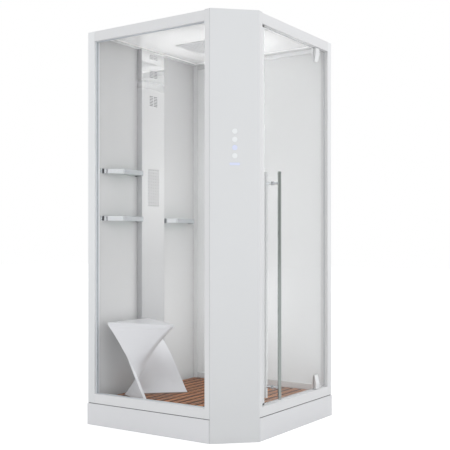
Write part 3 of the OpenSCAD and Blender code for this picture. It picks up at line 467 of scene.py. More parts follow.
# Darker towards the foot, from 1.2 m down to 0.55 m.
darker_below = place(tree, heights, Start_Height=1.2, End_Height=0.55, End_Value=0.85).outputs[0]
for mask, film_and_shade in ((limed, screen(230, 230, 230)), (shaded_sides, screen(206, 206, 208)),
                   (darker_below, screen(182, 183, 185))):
    colour = blend_towards(tree, colour, mask, film_and_shade)
join(tree, mirror, shader, "Metallic")
join(tree, colour, shader, "Base Color")
join(tree, calc(tree, "ADD", roughness, dulled), shader, "Roughness")
print("service column polished above", LIME_HEIGHTS["Start_Height"], "m")

# %% [markdown]
# ## Metals
# Handle, standoffs and shelf bars are chromed, clamps and trims are satin aluminium, the rain
# plate is brushed, and pipes and pins are copper, brass and steel. One recipe fits them all: a
# metal's colour is the colour of its reflection, so the table gives that colour, how rough it is
# and which way its lines run. Satin anodised parts scatter light in their skin, and a lower
# Metallic stands for that.

# %% Metals from a table
METALS = {
    "chrome": dict(colour=screen(214, 217, 220), rough=0.05, lines=(160, 160, 160), depth=0.02),
    "handle_chrome": dict(colour=screen(176, 182, 179), rough=0.1, lines=(160, 160, 160),
                          depth=0.02),
    "steel": dict(colour=screen(186, 188, 190), rough=0.3, lines=(1200, 1200, 8), depth=0.3),
    "galvanised": dict(colour=screen(176, 179, 181), rough=0.45, lines=(90, 90, 90), depth=0.2),
    "trim_aluminium": dict(colour=screen(234, 235, 236), rough=0.22, lines=(1500, 1500, 5),
                           depth=0.2, metal=0.4),
    "corner_satin": dict(colour=screen(228, 229, 229), rough=0.3, lines=(1500, 1500, 5), depth=0.3,
                         metal=0.15),
    "clamp_satin": dict(colour=screen(240, 241, 242), rough=0.36, lines=(900, 900, 9), depth=0.2,
                        metal=0.7),
    "rain_satin": dict(colour=screen(188, 189, 190), rough=0.4, lines=(300, 300, 300), depth=0.2,
                       metal=0.35),
    "brass": dict(colour=screen(196, 158, 94), rough=0.35, lines=(300, 300, 300), depth=0.2),
    "copper": dict(colour=screen(196, 122, 88), rough=0.3, lines=(500, 500, 10), depth=0.15),
}
for name, look in METALS.items():
    tree, shader = start_finish(name, Metallic=look.get("metal", 1.0))
    colour = place(tree, drift, Color=look["colour"], Size=6.0, Amount=0.05).outputs[0]
    # Painted shade darkens each metal in its corners.
    film_and_shade = place(tree, corners, Reach=0.008, Strength=0.35).outputs[0]
    surface = place(tree, lines, Across=look["lines"], Depth=look["depth"],
                    Roughness=look["rough"], Spread=look["rough"] * 0.6)
    dress(tree, shader, blend_towards(tree, colour, film_and_shade, shade(look["colour"], 0.45)), surface)
print(len(METALS), "metals")

# %% [markdown]
# ## Glass and clear seals
# The fixed pane and the door are toughened glass with a coating that mirrors less than plain
# glass, so their index of refraction is low. Light for the room behind must get through them, but
# a path tracer finds no straight way through a refracting pane and leaves hard shadows. Shadow
# and diffuse rays therefore meet a plain transparent shader, and only what the eye sees is real
# glass. The seal lips on the door are clear plastic that has turned milky along the upright side.

# %% Coated and frosted glass
def rays(tree, one, other):
    """A mask of two kinds of rays, such as Camera and Transmission."""
    path = put(tree, "LightPath")
    return calc(tree, "MAXIMUM", path.outputs[f"Is {one} Ray"], path.outputs[f"Is {other} Ray"])


def show_to(tree, mask, shader, other):
    """Makes the material meet the masked rays with the other shader."""
    either = put(tree, "MixShader", Fac=mask, in_1=shader.outputs[0], in_2=other.outputs[0])
    tree.links.new(either.outputs[0], tree.nodes["Material Output"].inputs["Surface"])


GLASSES = {
    "clear_glass": dict(colour=screen(254, 254, 254), rough=0.0, spots=0.03, ior=1.3),
    "shelf_glass": dict(colour=screen(236, 243, 242), rough=0.28, spots=0.08, ior=1.45),
}
for name, look in GLASSES.items():
    tree, shader = start_finish(name, Transmission_Weight=1.0, IOR=look["ior"])
    colour = place(tree, drift, Color=look["colour"], Size=3.0, Amount=0.01).outputs[0]
    dried = place(tree, spots, Size=55.0, Roughness=look["rough"], Amount=look["spots"])
    join(tree, colour, shader, "Base Color")
    join(tree, dried.outputs["Roughness"], shader, "Roughness")
    clear = put(tree, "BsdfTransparent", Color=look["colour"])
    show_to(tree, rays(tree, "Shadow", "Diffuse"), shader, clear)
print("glass of index", [look["ior"] for look in GLASSES.values()])

# %% Milky seal lips, clear along the bottom of the door
SWEEP_TOP = dict(Start_Height=0.1795, End_Height=0.1805)

tree, shader = start_finish("seal_clear")
milky = place(tree, drift, Color=screen(220, 222, 224), Size=9.0, Amount=0.05).outputs[0]
veil = place(tree, heights, **SWEEP_TOP, Start_Value=0.12, End_Value=0.7).outputs[0]
surface = place(tree, grain, Grain=900.0, Depth=0.1, Roughness=0.4, Spread=0.1)
dress(tree, shader, milky, surface)
join(tree, veil, shader, "Alpha")
print("seal lips milky above", SWEEP_TOP["End_Height"], "m")

# %% [markdown]
# ## Oiled wood
# The floor is made of narrow boards, and every board was cut from another place, so each needs its
# own grain. A picture texture would repeat. Here the board's number comes from its place across
# the floor and moves the noise that draws the grain, so no two boards are alike and the grain runs
# along each board.

# %% Which board a point is on, and its place in the log
BOARD_PITCH = 0.055
BOARD_START = -0.4375
LOG_SPREAD = 9.0

tree, shader = start_finish("wood", Specular_IOR_Level=0.2)
coords = put(tree, "TexCoord").outputs["Object"]
across = put(tree, "SeparateXYZ", Vector=coords)
steps = calc(tree, "MULTIPLY_ADD", across.outputs["X"], 1 / BOARD_PITCH,
             -BOARD_START / BOARD_PITCH)
lot = put(tree, "TexWhiteNoise", noise_dimensions="1D", W=calc(tree, "FLOOR", steps))
shift = put(tree, "VectorMath", operation="SCALE", in_0=lot.outputs["Color"], Scale=LOG_SPREAD)
place_on_log = put(tree, "VectorMath", operation="ADD", in_0=coords, in_1=shift.outputs[0])
print("boards every", BOARD_PITCH, "m from x", BOARD_START)

# %% Figure and pores of the wood, board by board
along = put(tree, "VectorMath", operation="MULTIPLY", in_0=place_on_log.outputs[0],
            in_1=(60.0, 4.0, 60.0))
figure = put(tree, "TexNoise", Vector=along.outputs[0], Scale=1.0, Detail=5.0, Distortion=0.5)
pores = put(tree, "VectorMath", operation="MULTIPLY", in_0=place_on_log.outputs[0],
            in_1=(900.0, 28.0, 900.0))
pore = put(tree, "TexNoise", Vector=pores.outputs[0], Scale=1.0, Detail=2.0)
tones = put(tree, "ValToRGB", Fac=figure.outputs["Fac"])
for stop, position, tone in zip(tones.color_ramp.elements, (0.3, 0.72),
                                (screen(124, 70, 30), screen(196, 124, 64))):
    stop.position = position
    stop.color = tone
dark_pore = ramp(tree, pore.outputs["Fac"], 0.36, 0.28, high=0.5)
colour = blend_towards(tree, tones.outputs[0], dark_pore, screen(96, 60, 40))
tone_shift = ramp(tree, lot.outputs["Value"], 0.0, 1.0, 0.82, 1.14)
colour = put(tree, "HueSaturation", Color=colour, Value=tone_shift).outputs[0]
print("two tones of wood between", [stop.position for stop in tones.color_ramp.elements])

# %% [markdown]
# ### Scores, board edges and sawn sides, in painted shade
# The boards are scored across at short steps, so wet feet don't slip. The scores, the edges beside
# the gaps and the sawn sides of the boards are painted darker than the oiled top, the sides
# darkest:
# painted shade for the gaps and grooves, with the darkening of water that stands there. Corners get
# painted shade as well. Cutting every score into the mesh would be thousands of faces for a groove
# of half a millimetre: a repeating ramp darkens it and lowers the bump there instead.

# %% Painted shade in corners, scores, board edges and sawn sides
SCORE_PITCH = 0.048
BOARD_MIDDLE = BOARD_START + 0.025

# Painted shade, with some water darkening: corners, scores, edges beside the gaps and sawn sides.
film_and_shade = place(tree, corners, Reach=0.012, Strength=0.5).outputs[0]
from_score = calc(tree, "PINGPONG", across.outputs["Y"], SCORE_PITCH / 2)
score = ramp(tree, from_score, 0.0052, 0.0034)
centred = calc(tree, "SUBTRACT", across.outputs["X"], BOARD_MIDDLE)
from_middle = calc(tree, "PINGPONG", centred, BOARD_PITCH / 2)
shaded_board_edge = ramp(tree, from_middle, 0.0178, 0.0215, high=0.85)
shaded_side_face = place(tree, facings, Axis=(1.0, 0.0, 0.0), None_Below=0.3, Full_Above=0.8)
for mask, dark in ((film_and_shade, screen(72, 46, 32)), (score, screen(78, 48, 28)),
                   (shaded_board_edge, screen(84, 48, 28)), (shaded_side_face.outputs[0], screen(50, 30, 20))):
    colour = blend_towards(tree, colour, mask, dark)
join(tree, colour, shader, "Base Color")
print("scored every", SCORE_PITCH, "m")

# %% [markdown]
# ### Relief of the wood, and the light it passes on
# Pores and scores are cut into the surface, so they feed a bump, and the denser figure is a little
# smoother. A brown floor would tint every white wall above it, more than it does in a room with
# its own lamps. So what the boards pass on to other surfaces is a pale diffuse light, while the
# eye still meets the wood.

# %% Relief, roughness and bounced light
relief = calc(tree, "ADD", pore.outputs["Fac"], figure.outputs["Fac"])
relief = calc(tree, "MULTIPLY_ADD", score, -3.0, relief)
bump = put(tree, "Bump", Strength=0.35, Distance=0.0006, Height=relief)
join(tree, bump.outputs[0], shader, "Normal")
join(tree, ramp(tree, figure.outputs["Fac"], 0.0, 1.0, 0.42, 0.62), shader, "Roughness")
bounced = put(tree, "BsdfDiffuse", Color=screen(184, 180, 177))
show_to(tree, put(tree, "LightPath").outputs["Is Diffuse Ray"], shader, bounced)
print("wood:", len(tree.nodes), "nodes")

# %% [markdown]
# ## Lit plastic
# The strips at the edge of the ceiling and the symbols on the column glow softly. A lamp behind
# them would need thin translucent shells, so the plastic itself gives off a little light, brighter
# where the diodes sit. Three of the round symbols are white, the third from the top and the bar
# below them are blue, and their heights tell them apart.

# %% Opal light strips and touch symbols
LIT = {
    "light_diffuser": dict(colour=screen(240, 240, 239), glow=0.04, pitch=0.016),
    "touch_light": dict(colour=screen(234, 236, 237), glow=0.12, pitch=0.03),
}
BLUE_LIGHT_Z, BLUE_BAR_TOP = 1.478, 1.41
for name, look in LIT.items():
    tree, shader = start_finish(name, Emission_Strength=look["glow"])
    coords = put(tree, "TexCoord").outputs["Object"]
    colour = place(tree, drift, Color=look["colour"], Size=12.0, Amount=0.04).outputs[0]
    hue = look["colour"][:3]
    if name == "touch_light":
        point = put(tree, "SeparateXYZ", Vector=coords)
        third = calc(tree, "COMPARE", point.outputs["Z"], BLUE_LIGHT_Z, 0.015)
        bar = calc(tree, "LESS_THAN", point.outputs["Z"], BLUE_BAR_TOP)
        blue = calc(tree, "MAXIMUM", third, bar)
        colour = hue = blend_towards(tree, colour, blue, screen(218, 223, 246))
    diodes = put(tree, "TexVoronoi", Vector=coords, Scale=1 / look["pitch"], Randomness=0.0)
    centre = ramp(tree, diodes.outputs["Distance"], 0.55, 0.1, low=0.75)
    lit = put(tree, "VectorMath", operation="SCALE", in_0=hue, Scale=centre)
    surface = place(tree, grain, Grain=800.0, Depth=0.1, Roughness=0.45, Spread=0.1)
    dress(tree, shader, colour, surface)
    join(tree, lit.outputs[0], shader, "Emission Color")
print("lit plastic:", ", ".join(LIT))

# %% [markdown]
# ### Finishes on the solids
# Every solid gets the finish that its record names, also those that a richer piece replaces later,
# so nothing is ever left in a plain default colour.

# %% Put the finishes on all solids
for node, solid in solids.items():
    solid.data.materials.clear()
    solid.data.materials.append(finishes[finish_of[node]])
print(len(finishes), "finishes on", len(solids), "solids")

# %% [markdown]
# ## Softened edges
# A real profile, panel or tray has no knife edges: a small radius catches a line of light, and
# without it the part looks like a drawing. One helper copies a solid, merges its flat triangles
# back into faces and rounds each sharp edge by a millimetre or so. Normals are weighted by face
# size, so the rounded edges shade softly and the big faces stay flat. The copy then stands for
# the solid.

# %% Copy a solid with rounded edges
FLAT_ANGLE = math.radians(0.6)
SHARP_ANGLE = math.radians(32)
LARGE_FACE = 0.0015


def corner_angle(edge):
    return edge.calc_face_angle(0) if len(edge.link_faces) == 2 else math.pi


def softened(node, radius, steps=2, finish=None):
    """A copy of the node's solid with every sharp edge rounded, riding where the solid rides."""
    mesh = solids[node].data.copy()
    work = bmesh.new()
    work.from_mesh(mesh)
    bmesh.ops.remove_doubles(work, verts=work.verts, dist=2e-6)
    bmesh.ops.dissolve_limit(work, angle_limit=FLAT_ANGLE, verts=work.verts, edges=work.edges)
    sharp = [edge for edge in work.edges if corner_angle(edge) > SHARP_ANGLE]
    bmesh.ops.bevel(work, geom=sharp, offset=radius, segments=steps, profile=0.6,
                    affect="EDGES", clamp_overlap=True)
    for face in work.faces:
        face.smooth = face.calc_area() < LARGE_FACE
    for edge in work.edges:
        edge.smooth = corner_angle(edge) < SHARP_ANGLE * 1.6
    work.to_mesh(mesh)
    work.free()
    piece = bpy.data.objects.new(node + "_soft", mesh)
    bpy.context.collection.objects.link(piece)
    shading = piece.modifiers.new("even_shading", "WEIGHTED_NORMAL")
    shading.keep_sharp = True
    shading.weight = 100
    if finish:
        mesh.materials.clear()
        mesh.materials.append(finishes[finish])
    return stands_for(piece, node)


def stands_for(piece, *nodes):
    """The piece takes the body and the finish of the first node, and hides them all."""
    if not piece.data.materials:
        piece.data.materials.append(finishes[finish_of[nodes[0]]])
    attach(piece, body_of[nodes[0]])
    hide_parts(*nodes)
    return piece


print("edges sharper than", round(math.degrees(SHARP_ANGLE)), "degrees can be rounded")

# %% [markdown]
# ### How round each piece is
# Folded and extruded metal has the smallest radii. The moulded tray and stool and the sanded
# boards, which bare feet and hands touch, have the largest. Clamps, the corner profile and the rain
# plate also get a finish of their own here, because their real surface differs from that of the
# other parts that share their slot. The posts get a lighter copy of the frame white, painted light.

# %% Solids with softened edges
SOFT_EDGES = {
    "shower_tray": 0.0022, "sill_front": 0.0008, "sill_door": 0.0008, "sill_left": 0.0008,
    "sill_back": 0.0008, "head_front": 0.0008, "head_door": 0.0008, "head_left": 0.0008,
    "head_back": 0.0008, "column_panel": 0.0012, "column_stile_front": 0.0008,
    "column_stile_door": 0.0008, "column_cap": 0.001, "column_inner_panel": 0.0008,
    "wall_panel_front": 0.001, "wall_panel_rear": 0.001, "wall_panel_back": 0.001,
    "wall_trims": 0.0008, "ceiling": 0.0008, "fixed_glass": 0.0008, "door_glass": 0.0008,
    "door_edge": 0.0005, "strike_seal": 0.0004, "mixer_plate": 0.001, "drain_cover": 0.0006,
    "service_back": 0.0006, "duck_slats": 0.0018, "duck_bearers": 0.002, "stool": 0.002,
}
for node, radius in SOFT_EDGES.items():
    softened(node, radius)
softened("hinge_clamps", 0.0008, finish="clamp_satin")
softened("corner_profile", 0.0006, finish="corner_satin")
# Posts take the lighter copy of the frame white: painted light.
for post in ("post_front_left", "post_back_left", "post_back_right"):
    softened(post, 0.0012, finish="post_white_lit")
solids["rain_plate"].data.materials.clear()
solids["rain_plate"].data.materials.append(finishes["rain_satin"])
print(len(SOFT_EDGES), "solids with softened edges")

# %% [markdown]
# ## Turned chrome
# Handle bars, standoffs, shelf posts and screws are round, and a coarse cylinder shows its facets
# in every reflection. Each is built as a lathe would cut it: an outline of radius against length
# is turned round an axis, with small chamfers, grooves and domed ends in the outline.

# %% Lathe helper, and how a finished mesh becomes a piece
def lathe(work, outline, start, along, sides=40):
    """Adds a turned form: outline is (radius, distance from start) along a direction."""
    stand = Matrix.Translation(start) @ Vector(along).to_track_quat("Z", "Y").to_matrix().to_4x4()
    rings = []
    for radius, distance in outline:
        turns = [2 * math.pi * i / sides for i in range(sides)] if radius > 0 else [0]
        rings.append([work.verts.new(stand @ Vector((radius * math.cos(turn),
                      radius * math.sin(turn), distance))) for turn in turns])
    for low, high in zip(rings, rings[1:]):
        for i in range(sides):
            j = (i + 1) % sides
            corners = [low[i % len(low)], low[j % len(low)], high[j % len(high)],
                       high[i % len(high)]]
            corners = list(dict.fromkeys(corners))
            if len(corners) > 2:
                work.faces.new(corners)


def made_piece(name, work, finish, body):
    """A piece from the mesh in work, smooth where it bends gently and sharp elsewhere."""
    bmesh.ops.recalc_face_normals(work, faces=work.faces)
    for face in work.faces:
        face.smooth = True
    for edge in work.edges:
        edge.smooth = corner_angle(edge) < SHARP_ANGLE
    mesh = bpy.data.meshes.new(name)
    work.to_mesh(mesh)
    work.free()
    mesh.materials.append(finishes[finish])
    piece = bpy.data.objects.new(name, mesh)
    bpy.context.collection.objects.link(piece)
    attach(piece, body)
    return piece


def domed_rod(radius, length, ring_at=0.0):
    """Outline of a rod with domed ends and, if asked, a fine groove near each end."""
    soft = min(0.0025, radius * 0.3)
    arc = [(radius - soft + soft * math.sin(t), soft - soft * math.cos(t))
           for t in (0, math.pi / 6, math.pi / 3, math.pi / 2)]
    end = [(0, 0)] + arc
    if ring_at:
        end += [(radius, ring_at), (radius - 0.0004, ring_at + 0.0003),
                (radius - 0.0004, ring_at + 0.0009), (radius, ring_at + 0.0012)]
    return end + [(r, length - d) for r, d in reversed(end)]


print("outline of a domed rod:", len(domed_rod(0.01, 0.1)), "points")

# %% [markdown]
# ### The door handle
# Two long tubes stand back to back, one outside and one inside the pane, joined through the glass
# by two standoffs. The solids are two plain tubes with bevelled ends. Turned ones have domed ends
# and a fine ring where the end cap is pressed in, and these make a tube read as metal. The outer
# tube is darker, the inner one is satin, so the mesh carries two finishes.

# %% Two handle tubes
BAR_RADIUS = 0.0095
CAP_LENGTH = 0.012
low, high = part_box("handle_bars")
bar_y = (low.y + high.y) / 2
bar_xs = (low.x + BAR_RADIUS, high.x - BAR_RADIUS)
work = bmesh.new()
for x in bar_xs:
    lathe(work, domed_rod(BAR_RADIUS, high.z - low.z, CAP_LENGTH), (x, bar_y, low.z), (0, 0, 1),
          64)
bars = made_piece("handle_tubes", work, "handle_chrome", "door")
bars.data.materials.append(finishes["trim_aluminium"])
for face in bars.data.polygons:
    face.material_index = int(face.center.x < sum(bar_xs) / 2)
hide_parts("handle_bars")
print("two handle tubes of", round(high.z - low.z, 3), "m")

# %% Standoffs with a collar on each face of the glass
STANDOFF_RADIUS = 0.007
COLLAR = (0.0105, 0.004)
glass_low, glass_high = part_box("door_glass")
stand_low, stand_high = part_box("handle_standoffs")
stand_zs = (stand_low.z + STANDOFF_RADIUS, stand_high.z - STANDOFF_RADIUS)
reach = bar_xs[1] - bar_xs[0]
work = bmesh.new()
for z in stand_zs:
    lathe(work, [(0, 0), (STANDOFF_RADIUS, 0), (STANDOFF_RADIUS, reach), (0, reach)],
          (bar_xs[0], bar_y, z), (1, 0, 0))
    for x, way in ((glass_high.x, 1), (glass_low.x, -1)):
        lathe(work, domed_rod(*COLLAR), (x, bar_y, z), (way, 0, 0))
standoffs = made_piece("handle_stems", work, "chrome", "door")
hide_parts("handle_standoffs")
print("standoffs at z", [round(z, 3) for z in stand_zs])

# %% [markdown]
# ### Screws of the pivot clamps
# Each clamp grips the glass with two socket screws from either side. A hole cut into the solid
# would need a boolean, and a turned screw with a sunk centre that stands in the surface shows the
# same ring of light.

# %% Socket screws in the hinge clamps
SCREW_UP, SCREW_IN = 0.016, 0.011
SCREW = [(0, -0.0012), (0.0016, -0.0012), (0.0018, 0.0006), (0.0034, 0.0006), (0.004, 0.0),
         (0.004, -0.001), (0, -0.001)]
clamp_low, clamp_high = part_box("hinge_clamps")
screw_zs = (clamp_low.z + SCREW_UP, clamp_high.z - SCREW_UP)
work = bmesh.new()
for z in screw_zs:
    for y in (clamp_low.y + SCREW_IN, clamp_high.y - SCREW_IN):
        for x, way in ((clamp_high.x, 1), (clamp_low.x, -1)):
            lathe(work, SCREW, (x, y, z), (way, 0, 0), 24)
made_piece("clamp_screws", work, "clamp_satin", "door")
print("8 clamp screws at z", [round(z, 3) for z in screw_zs])

# %% [markdown]
# ## Body jets and louvres
# The service column has a grid of soft rubber jets and three groups of louvre slots. Both read as
# dark marks from afar, so each jet gets a collar and a bored tip, and each slot a dark strip a
# little behind the face: painted shade for the dark inside of the slot.

# %% Jets with collar and bore
FACE_X = -0.415
JET_Y, JET_Z = -0.014, 1.226
JET_COLUMNS, JET_ROWS = 5, 13
JET_STEP_Y, JET_STEP_Z = 0.0215, 0.0175
JET = [(0.0043, -0.001), (0.0043, 0.0004), (0.0041, 0.0006), (0.003, 0.0006), (0.0026, 0.0016),
       (0.0022, 0.0018), (0.0009, 0.0018), (0.0009, 0.0004), (0, 0.0004)]
work = bmesh.new()
for row in range(JET_ROWS):
    for column in range(JET_COLUMNS):
        y = JET_Y + (column - (JET_COLUMNS - 1) / 2) * JET_STEP_Y
        lathe(work, JET, (FACE_X, y, JET_Z + row * JET_STEP_Z), (1, 0, 0), 14)
jets = made_piece("jet_tips", work, "nozzle_grey", "cabin")
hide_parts("jet_nozzles")
print(JET_ROWS * JET_COLUMNS, "jets")

# %% Dark strips behind the louvre slots, as painted shade
def flat_piece(work, outline, push):
    """A flat plate: an outline of points in one plane, pushed along a vector."""
    rear = [work.verts.new(point) for point in outline]
    front = [work.verts.new(Vector(point) + Vector(push)) for point in outline]
    work.faces.new(rear)
    work.faces.new(list(reversed(front)))
    for i in range(len(outline)):
        j = (i + 1) % len(outline)
        work.faces.new((rear[i], front[i], front[j], rear[j]))


LOUVRE_GROUPS = ((1.818, 7), (1.986, 5), (2.096, 3))
SLOT_STEP = 0.009
SLOT_OUT, SLOT_HALF, SLOT_HEIGHT = 0.02, 0.0172, 0.0032
SHADE_SHEET_X = FACE_X - 0.0016
work = bmesh.new()
for lowest, rows in LOUVRE_GROUPS:
    for row in range(rows):
        for side in (-1, 1):
            z = lowest + row * SLOT_STEP
            y = JET_Y + side * SLOT_OUT
            outline = [(SHADE_SHEET_X, y + across * SLOT_HALF, z + up * SLOT_HEIGHT / 2)
                       for across, up in ((-1, -1), (1, -1), (1, 1), (-1, 1))]
            flat_piece(work, outline, (0.0006, 0, 0))
made_piece("louvre_shade_sheets", work, "seal_dark", "cabin")
print("louvre groups at", [lowest for lowest, rows in LOUVRE_GROUPS])

# %% [markdown]
# ## Shelves
# A shelf is one flat chrome bar, bent twice round a glass plate, with a small post at each end.
# Metal strip can't turn a sharp corner, and the bend is where the photograph shows a bright line,
# so the strip follows a path with round corners instead of the plain outline of the solid. Dark
# rubber bushes beside each post keep the metal off the wall panel and read as a dark line from
# afar;
# their dark also stands in for the shade in the gap beside each post, as painted shade.

# %% Bend a flat bar along a path
def rounded_path(points, radius, steps=6):
    """The open path with each inner corner replaced by an arc."""
    path = [Vector(points[0])]
    for before, corner, after in zip(points, points[1:], points[2:]):
        corner = Vector(corner)
        back = (Vector(before) - corner).normalized()
        ahead = (Vector(after) - corner).normalized()
        half = back.angle(ahead) / 2
        middle = corner + (back + ahead).normalized() * radius / math.sin(half)
        first = corner + back * radius / math.tan(half) - middle
        last = corner + ahead * radius / math.tan(half) - middle
        turn = first.angle_signed(last)
        path += [middle + Matrix.Rotation(-turn * i / steps, 2) @ first for i in range(steps + 1)]
    return path + [Vector(points[-1])]


def bent_bar(work, path, thickness, z0, z1):
    """A strip on edge along the path, with its long edges taken off."""
    soft = thickness * 0.25
    half = thickness / 2
    section = [(-half, z0 + soft), (soft - half, z0), (half - soft, z0), (half, z0 + soft),
               (half, z1 - soft), (half - soft, z1), (soft - half, z1), (-half, z1 - soft)]
    rings = []
    for i, point in enumerate(path):
        ahead = (path[min(i + 1, len(path) - 1)] - path[max(i - 1, 0)]).normalized()
        side = Vector((-ahead.y, ahead.x))
        rings.append([work.verts.new((*(point + side * across), z)) for across, z in section])
    for one, two in zip(rings, rings[1:]):
        for i in range(len(section)):
            j = (i + 1) % len(section)
            work.faces.new((one[i], one[j], two[j], two[i]))
    work.faces.new(rings[0])
    work.faces.new(list(reversed(rings[-1])))


corner = rounded_path([Vector((0, 0)), Vector((0, 1)), Vector((1, 1))], 0.1)
print("a rounded corner has", len(corner) - 2, "points")

# %% Three shelves: bar, posts, glass plate and rubber bushes
WALL_X = -0.451
SHELF_DEPTH = 0.088
SHELF_HEIGHT = 0.028
RAIL_THICK = 0.003
BEND_RADIUS = 0.011
POST_RADIUS = 0.009
POST_STEP = 0.004
PLATE = (0.005, 0.011)
BUSH_INSET = 0.0012
BUSH_DEPTHS = (0.009, 0.016)
BUSH_NEAR, BUSH_FAR = 0.008, 0.012
TAB = (0.01, 0.034)
FRONT_SHELF = (-0.411, -0.348, -0.172, -0.134)
REAR_SHELF = (0.116, 0.153, 0.333, 0.396)
SHELF_PLACES = ((FRONT_SHELF, 1.126, -1), (FRONT_SHELF, 1.390, -1), (REAR_SHELF, 1.126, 1))

front_x = WALL_X + SHELF_DEPTH - RAIL_THICK / 2
work = bmesh.new()
glass = bmesh.new()
rubber_shade_bushes = bmesh.new()
for ys, z, outer in SHELF_PLACES:
    plan = [Vector((x, y)) for x, y in zip((WALL_X, front_x, front_x, WALL_X), ys)]
    bent_bar(work, rounded_path(plan, BEND_RADIUS), RAIL_THICK, z, z + SHELF_HEIGHT)
    for side, y in ((-1, ys[0]), (1, ys[3])):
        stand_y = y + side * POST_STEP
        lathe(work, domed_rod(POST_RADIUS, SHELF_HEIGHT, 0.004),
              (WALL_X + POST_RADIUS, stand_y, z), (0, 0, 1))
        for way, depth in zip((side, -side), BUSH_DEPTHS):
            bush = [(WALL_X + x, stand_y + way * reach, z + BUSH_INSET) for x, reach in
                    ((0, BUSH_NEAR), (depth - 0.002, BUSH_NEAR - 0.0005),
                     (depth, BUSH_NEAR + 0.0015), (depth - 0.001, BUSH_FAR), (0, BUSH_FAR))]
            flat_piece(rubber_shade_bushes, bush, (0, 0, SHELF_HEIGHT - 2 * BUSH_INSET))
        if side == outer:
            tab = [Vector((WALL_X + RAIL_THICK / 2, y + side * reach)) for reach in TAB]
            bent_bar(work, tab, RAIL_THICK, z, z + SHELF_HEIGHT)
    inner = [(WALL_X, ys[0] + 0.002), (front_x - 0.0022, ys[1] + 0.001),
             (front_x - 0.0022, ys[2] - 0.001), (WALL_X, ys[3] - 0.002)]
    flat_piece(glass, [(x, y, z + PLATE[0]) for x, y in inner], (0, 0, PLATE[1] - PLATE[0]))
rails = made_piece("shelf_bars", work, "chrome", "cabin")
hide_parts("shelf_rails")
bmesh.ops.bevel(glass, geom=glass.edges[:], offset=0.0008, segments=2, profile=0.6, affect="EDGES")
plates = made_piece("shelf_glasses", glass, "shelf_glass", "cabin")
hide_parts("shelf_plates")
# Dark bushes: rubber, and painted shade for the gap beside each post.
made_piece("shelf_bushes", rubber_shade_bushes, "seal_dark", "cabin")
print(len(SHELF_PLACES), "shelves")

# %% [markdown]
# ## Studio
# The photograph is a cut-out on pure white. The world turns white only for what looks at it
# directly or through glass, and lights the cabin at a plain level, so the colours come out as they
# are written. Polished metal in an all-white room would look like white paint. A studio has a dark
# side behind the camera, and chrome shows it as the grey stripe that makes it read as metal, so
# the world that metal mirrors is darker on that side.

# %% White world with a darker side for mirrors
AMBIENT = 1.0
DARK_SIDE = (0.574, -0.819, 0.0)
DARKEST = 0.45

world = bpy.data.worlds.new("studio")
bpy.context.scene.world = world
world.use_nodes = True
tree = world.node_tree
tree.nodes.clear()
ray = put(tree, "TexCoord").outputs["Generated"]
facing = put(tree, "VectorMath", operation="DOT_PRODUCT", in_0=ray, in_1=DARK_SIDE)
studio = ramp(tree, facing.outputs["Value"], 0.05, 0.6, 1.0, DARKEST)
lamp = put(tree, "Background", Color=(0.98, 0.99, 1.0, 1), Strength=AMBIENT)
mirrored = put(tree, "Background", Color=(1, 1, 1, 1), Strength=studio)
white = put(tree, "Background", Color=(1, 1, 1, 1), Strength=1.0)
glossy = put(tree, "MixShader", Fac=put(tree, "LightPath").outputs["Is Glossy Ray"],
             in_1=lamp.outputs[0], in_2=mirrored.outputs[0])
either = put(tree, "MixShader", Fac=rays(tree, "Camera", "Transmission"),
             in_1=glossy.outputs[0], in_2=white.outputs[0])
put(tree, "OutputWorld", Surface=either.outputs[0])
print("world:", len(tree.nodes), "nodes")

# %% [markdown]
# ### Floor
# The cabin stands on a pale matt floor that runs on past the picture. A grey floor under white
# light would leave a grey picture, and a brighter lamp would wash out the white frame. So the
# floor adds a little light of its own, only for the eye: it comes out white and still darkens
# where the cabin shades it.

# %% Pale floor
FLOOR_SIZE = 60
FLOOR_LIGHT = 0.5

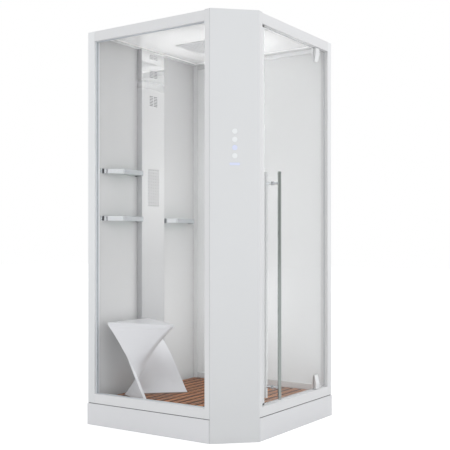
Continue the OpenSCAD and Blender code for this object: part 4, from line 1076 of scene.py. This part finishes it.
bpy.ops.mesh.primitive_plane_add(size=FLOOR_SIZE)
floor = bpy.context.object
floor.name = "pale_floor"
tree, shader = start_finish("pale_floor", Base_Color=(0.75, 0.75, 0.75, 1), Roughness=0.9,
                            Specular_IOR_Level=0.0, Emission_Color=(1, 1, 1, 1))
glow = calc(tree, "MULTIPLY", rays(tree, "Camera", "Transmission"), FLOOR_LIGHT)
join(tree, glow, shader, "Emission Strength")
floor.data.materials.append(finishes["pale_floor"])
print("floor of", FLOOR_SIZE, "m")

# %% [markdown]
# ### Lamps
# Nearly all light comes from the world, and a few soft lamps do what it can't. A wide one from the
# door side makes the faces there a little brighter than the front. Inside, one shines up at the
# ceiling like the lamps along its edge, and two soft balls stand for the light that the white
# walls pass on to each other more often than a renderer follows it. No lamp shows itself, in a
# mirror or through glass.

# %% Soft studio lamps
def hidden_lamp(name, kind, place_at, power):
    """A lamp that lights the cabin and never shows itself."""
    data = bpy.data.lights.new(name, kind)
    data.energy = power
    lamp = bpy.data.objects.new(name, data)
    lamp.location = place_at
    lamp.visible_camera = lamp.visible_glossy = lamp.visible_transmission = False
    bpy.context.collection.objects.link(lamp)
    return lamp, data


def soft_lamp(name, place_at, aim_at, size, power, spread=180):
    """A flat lamp that lights the half of the room it faces, or a narrower cone."""
    lamp, data = hidden_lamp(name, "AREA", place_at, power)
    lamp.rotation_euler = (Vector(aim_at) - Vector(place_at)).to_track_quat("-Z", "Y").to_euler()
    data.spread = math.radians(spread)
    data.shape = "RECTANGLE"
    data.size, data.size_y = size


def soft_glow(name, place_at, radius, power):
    """A soft ball of light inside the cabin, which stands for the light its walls pass around."""
    lamp, data = hidden_lamp(name, "POINT", place_at, power)
    data.shadow_soft_size = radius


soft_lamp("wide_front_lamp", (4.5, -0.7, 2.8), (0.4, -0.1, 1.5), (2, 1.5), 13)
soft_lamp("room_lamp_up", (0.0, 0.05, 0.9), (0.0, 0.05, 3), (0.3, 0.3), 1.75, 50)
soft_glow("room_glow_high", (-0.08, 0.1, 1.35), 0.25, 1.4)
soft_glow("room_glow_low", (-0.03, 0.15, 0.6), 0.25, 2.2)
print("lamps:", ", ".join(lamp.name for lamp in bpy.data.lights))

# %% [markdown]
# ## Last update
# The view layer is brought up to date once more.

# %% Update the view layer
bpy.context.view_layer.update()
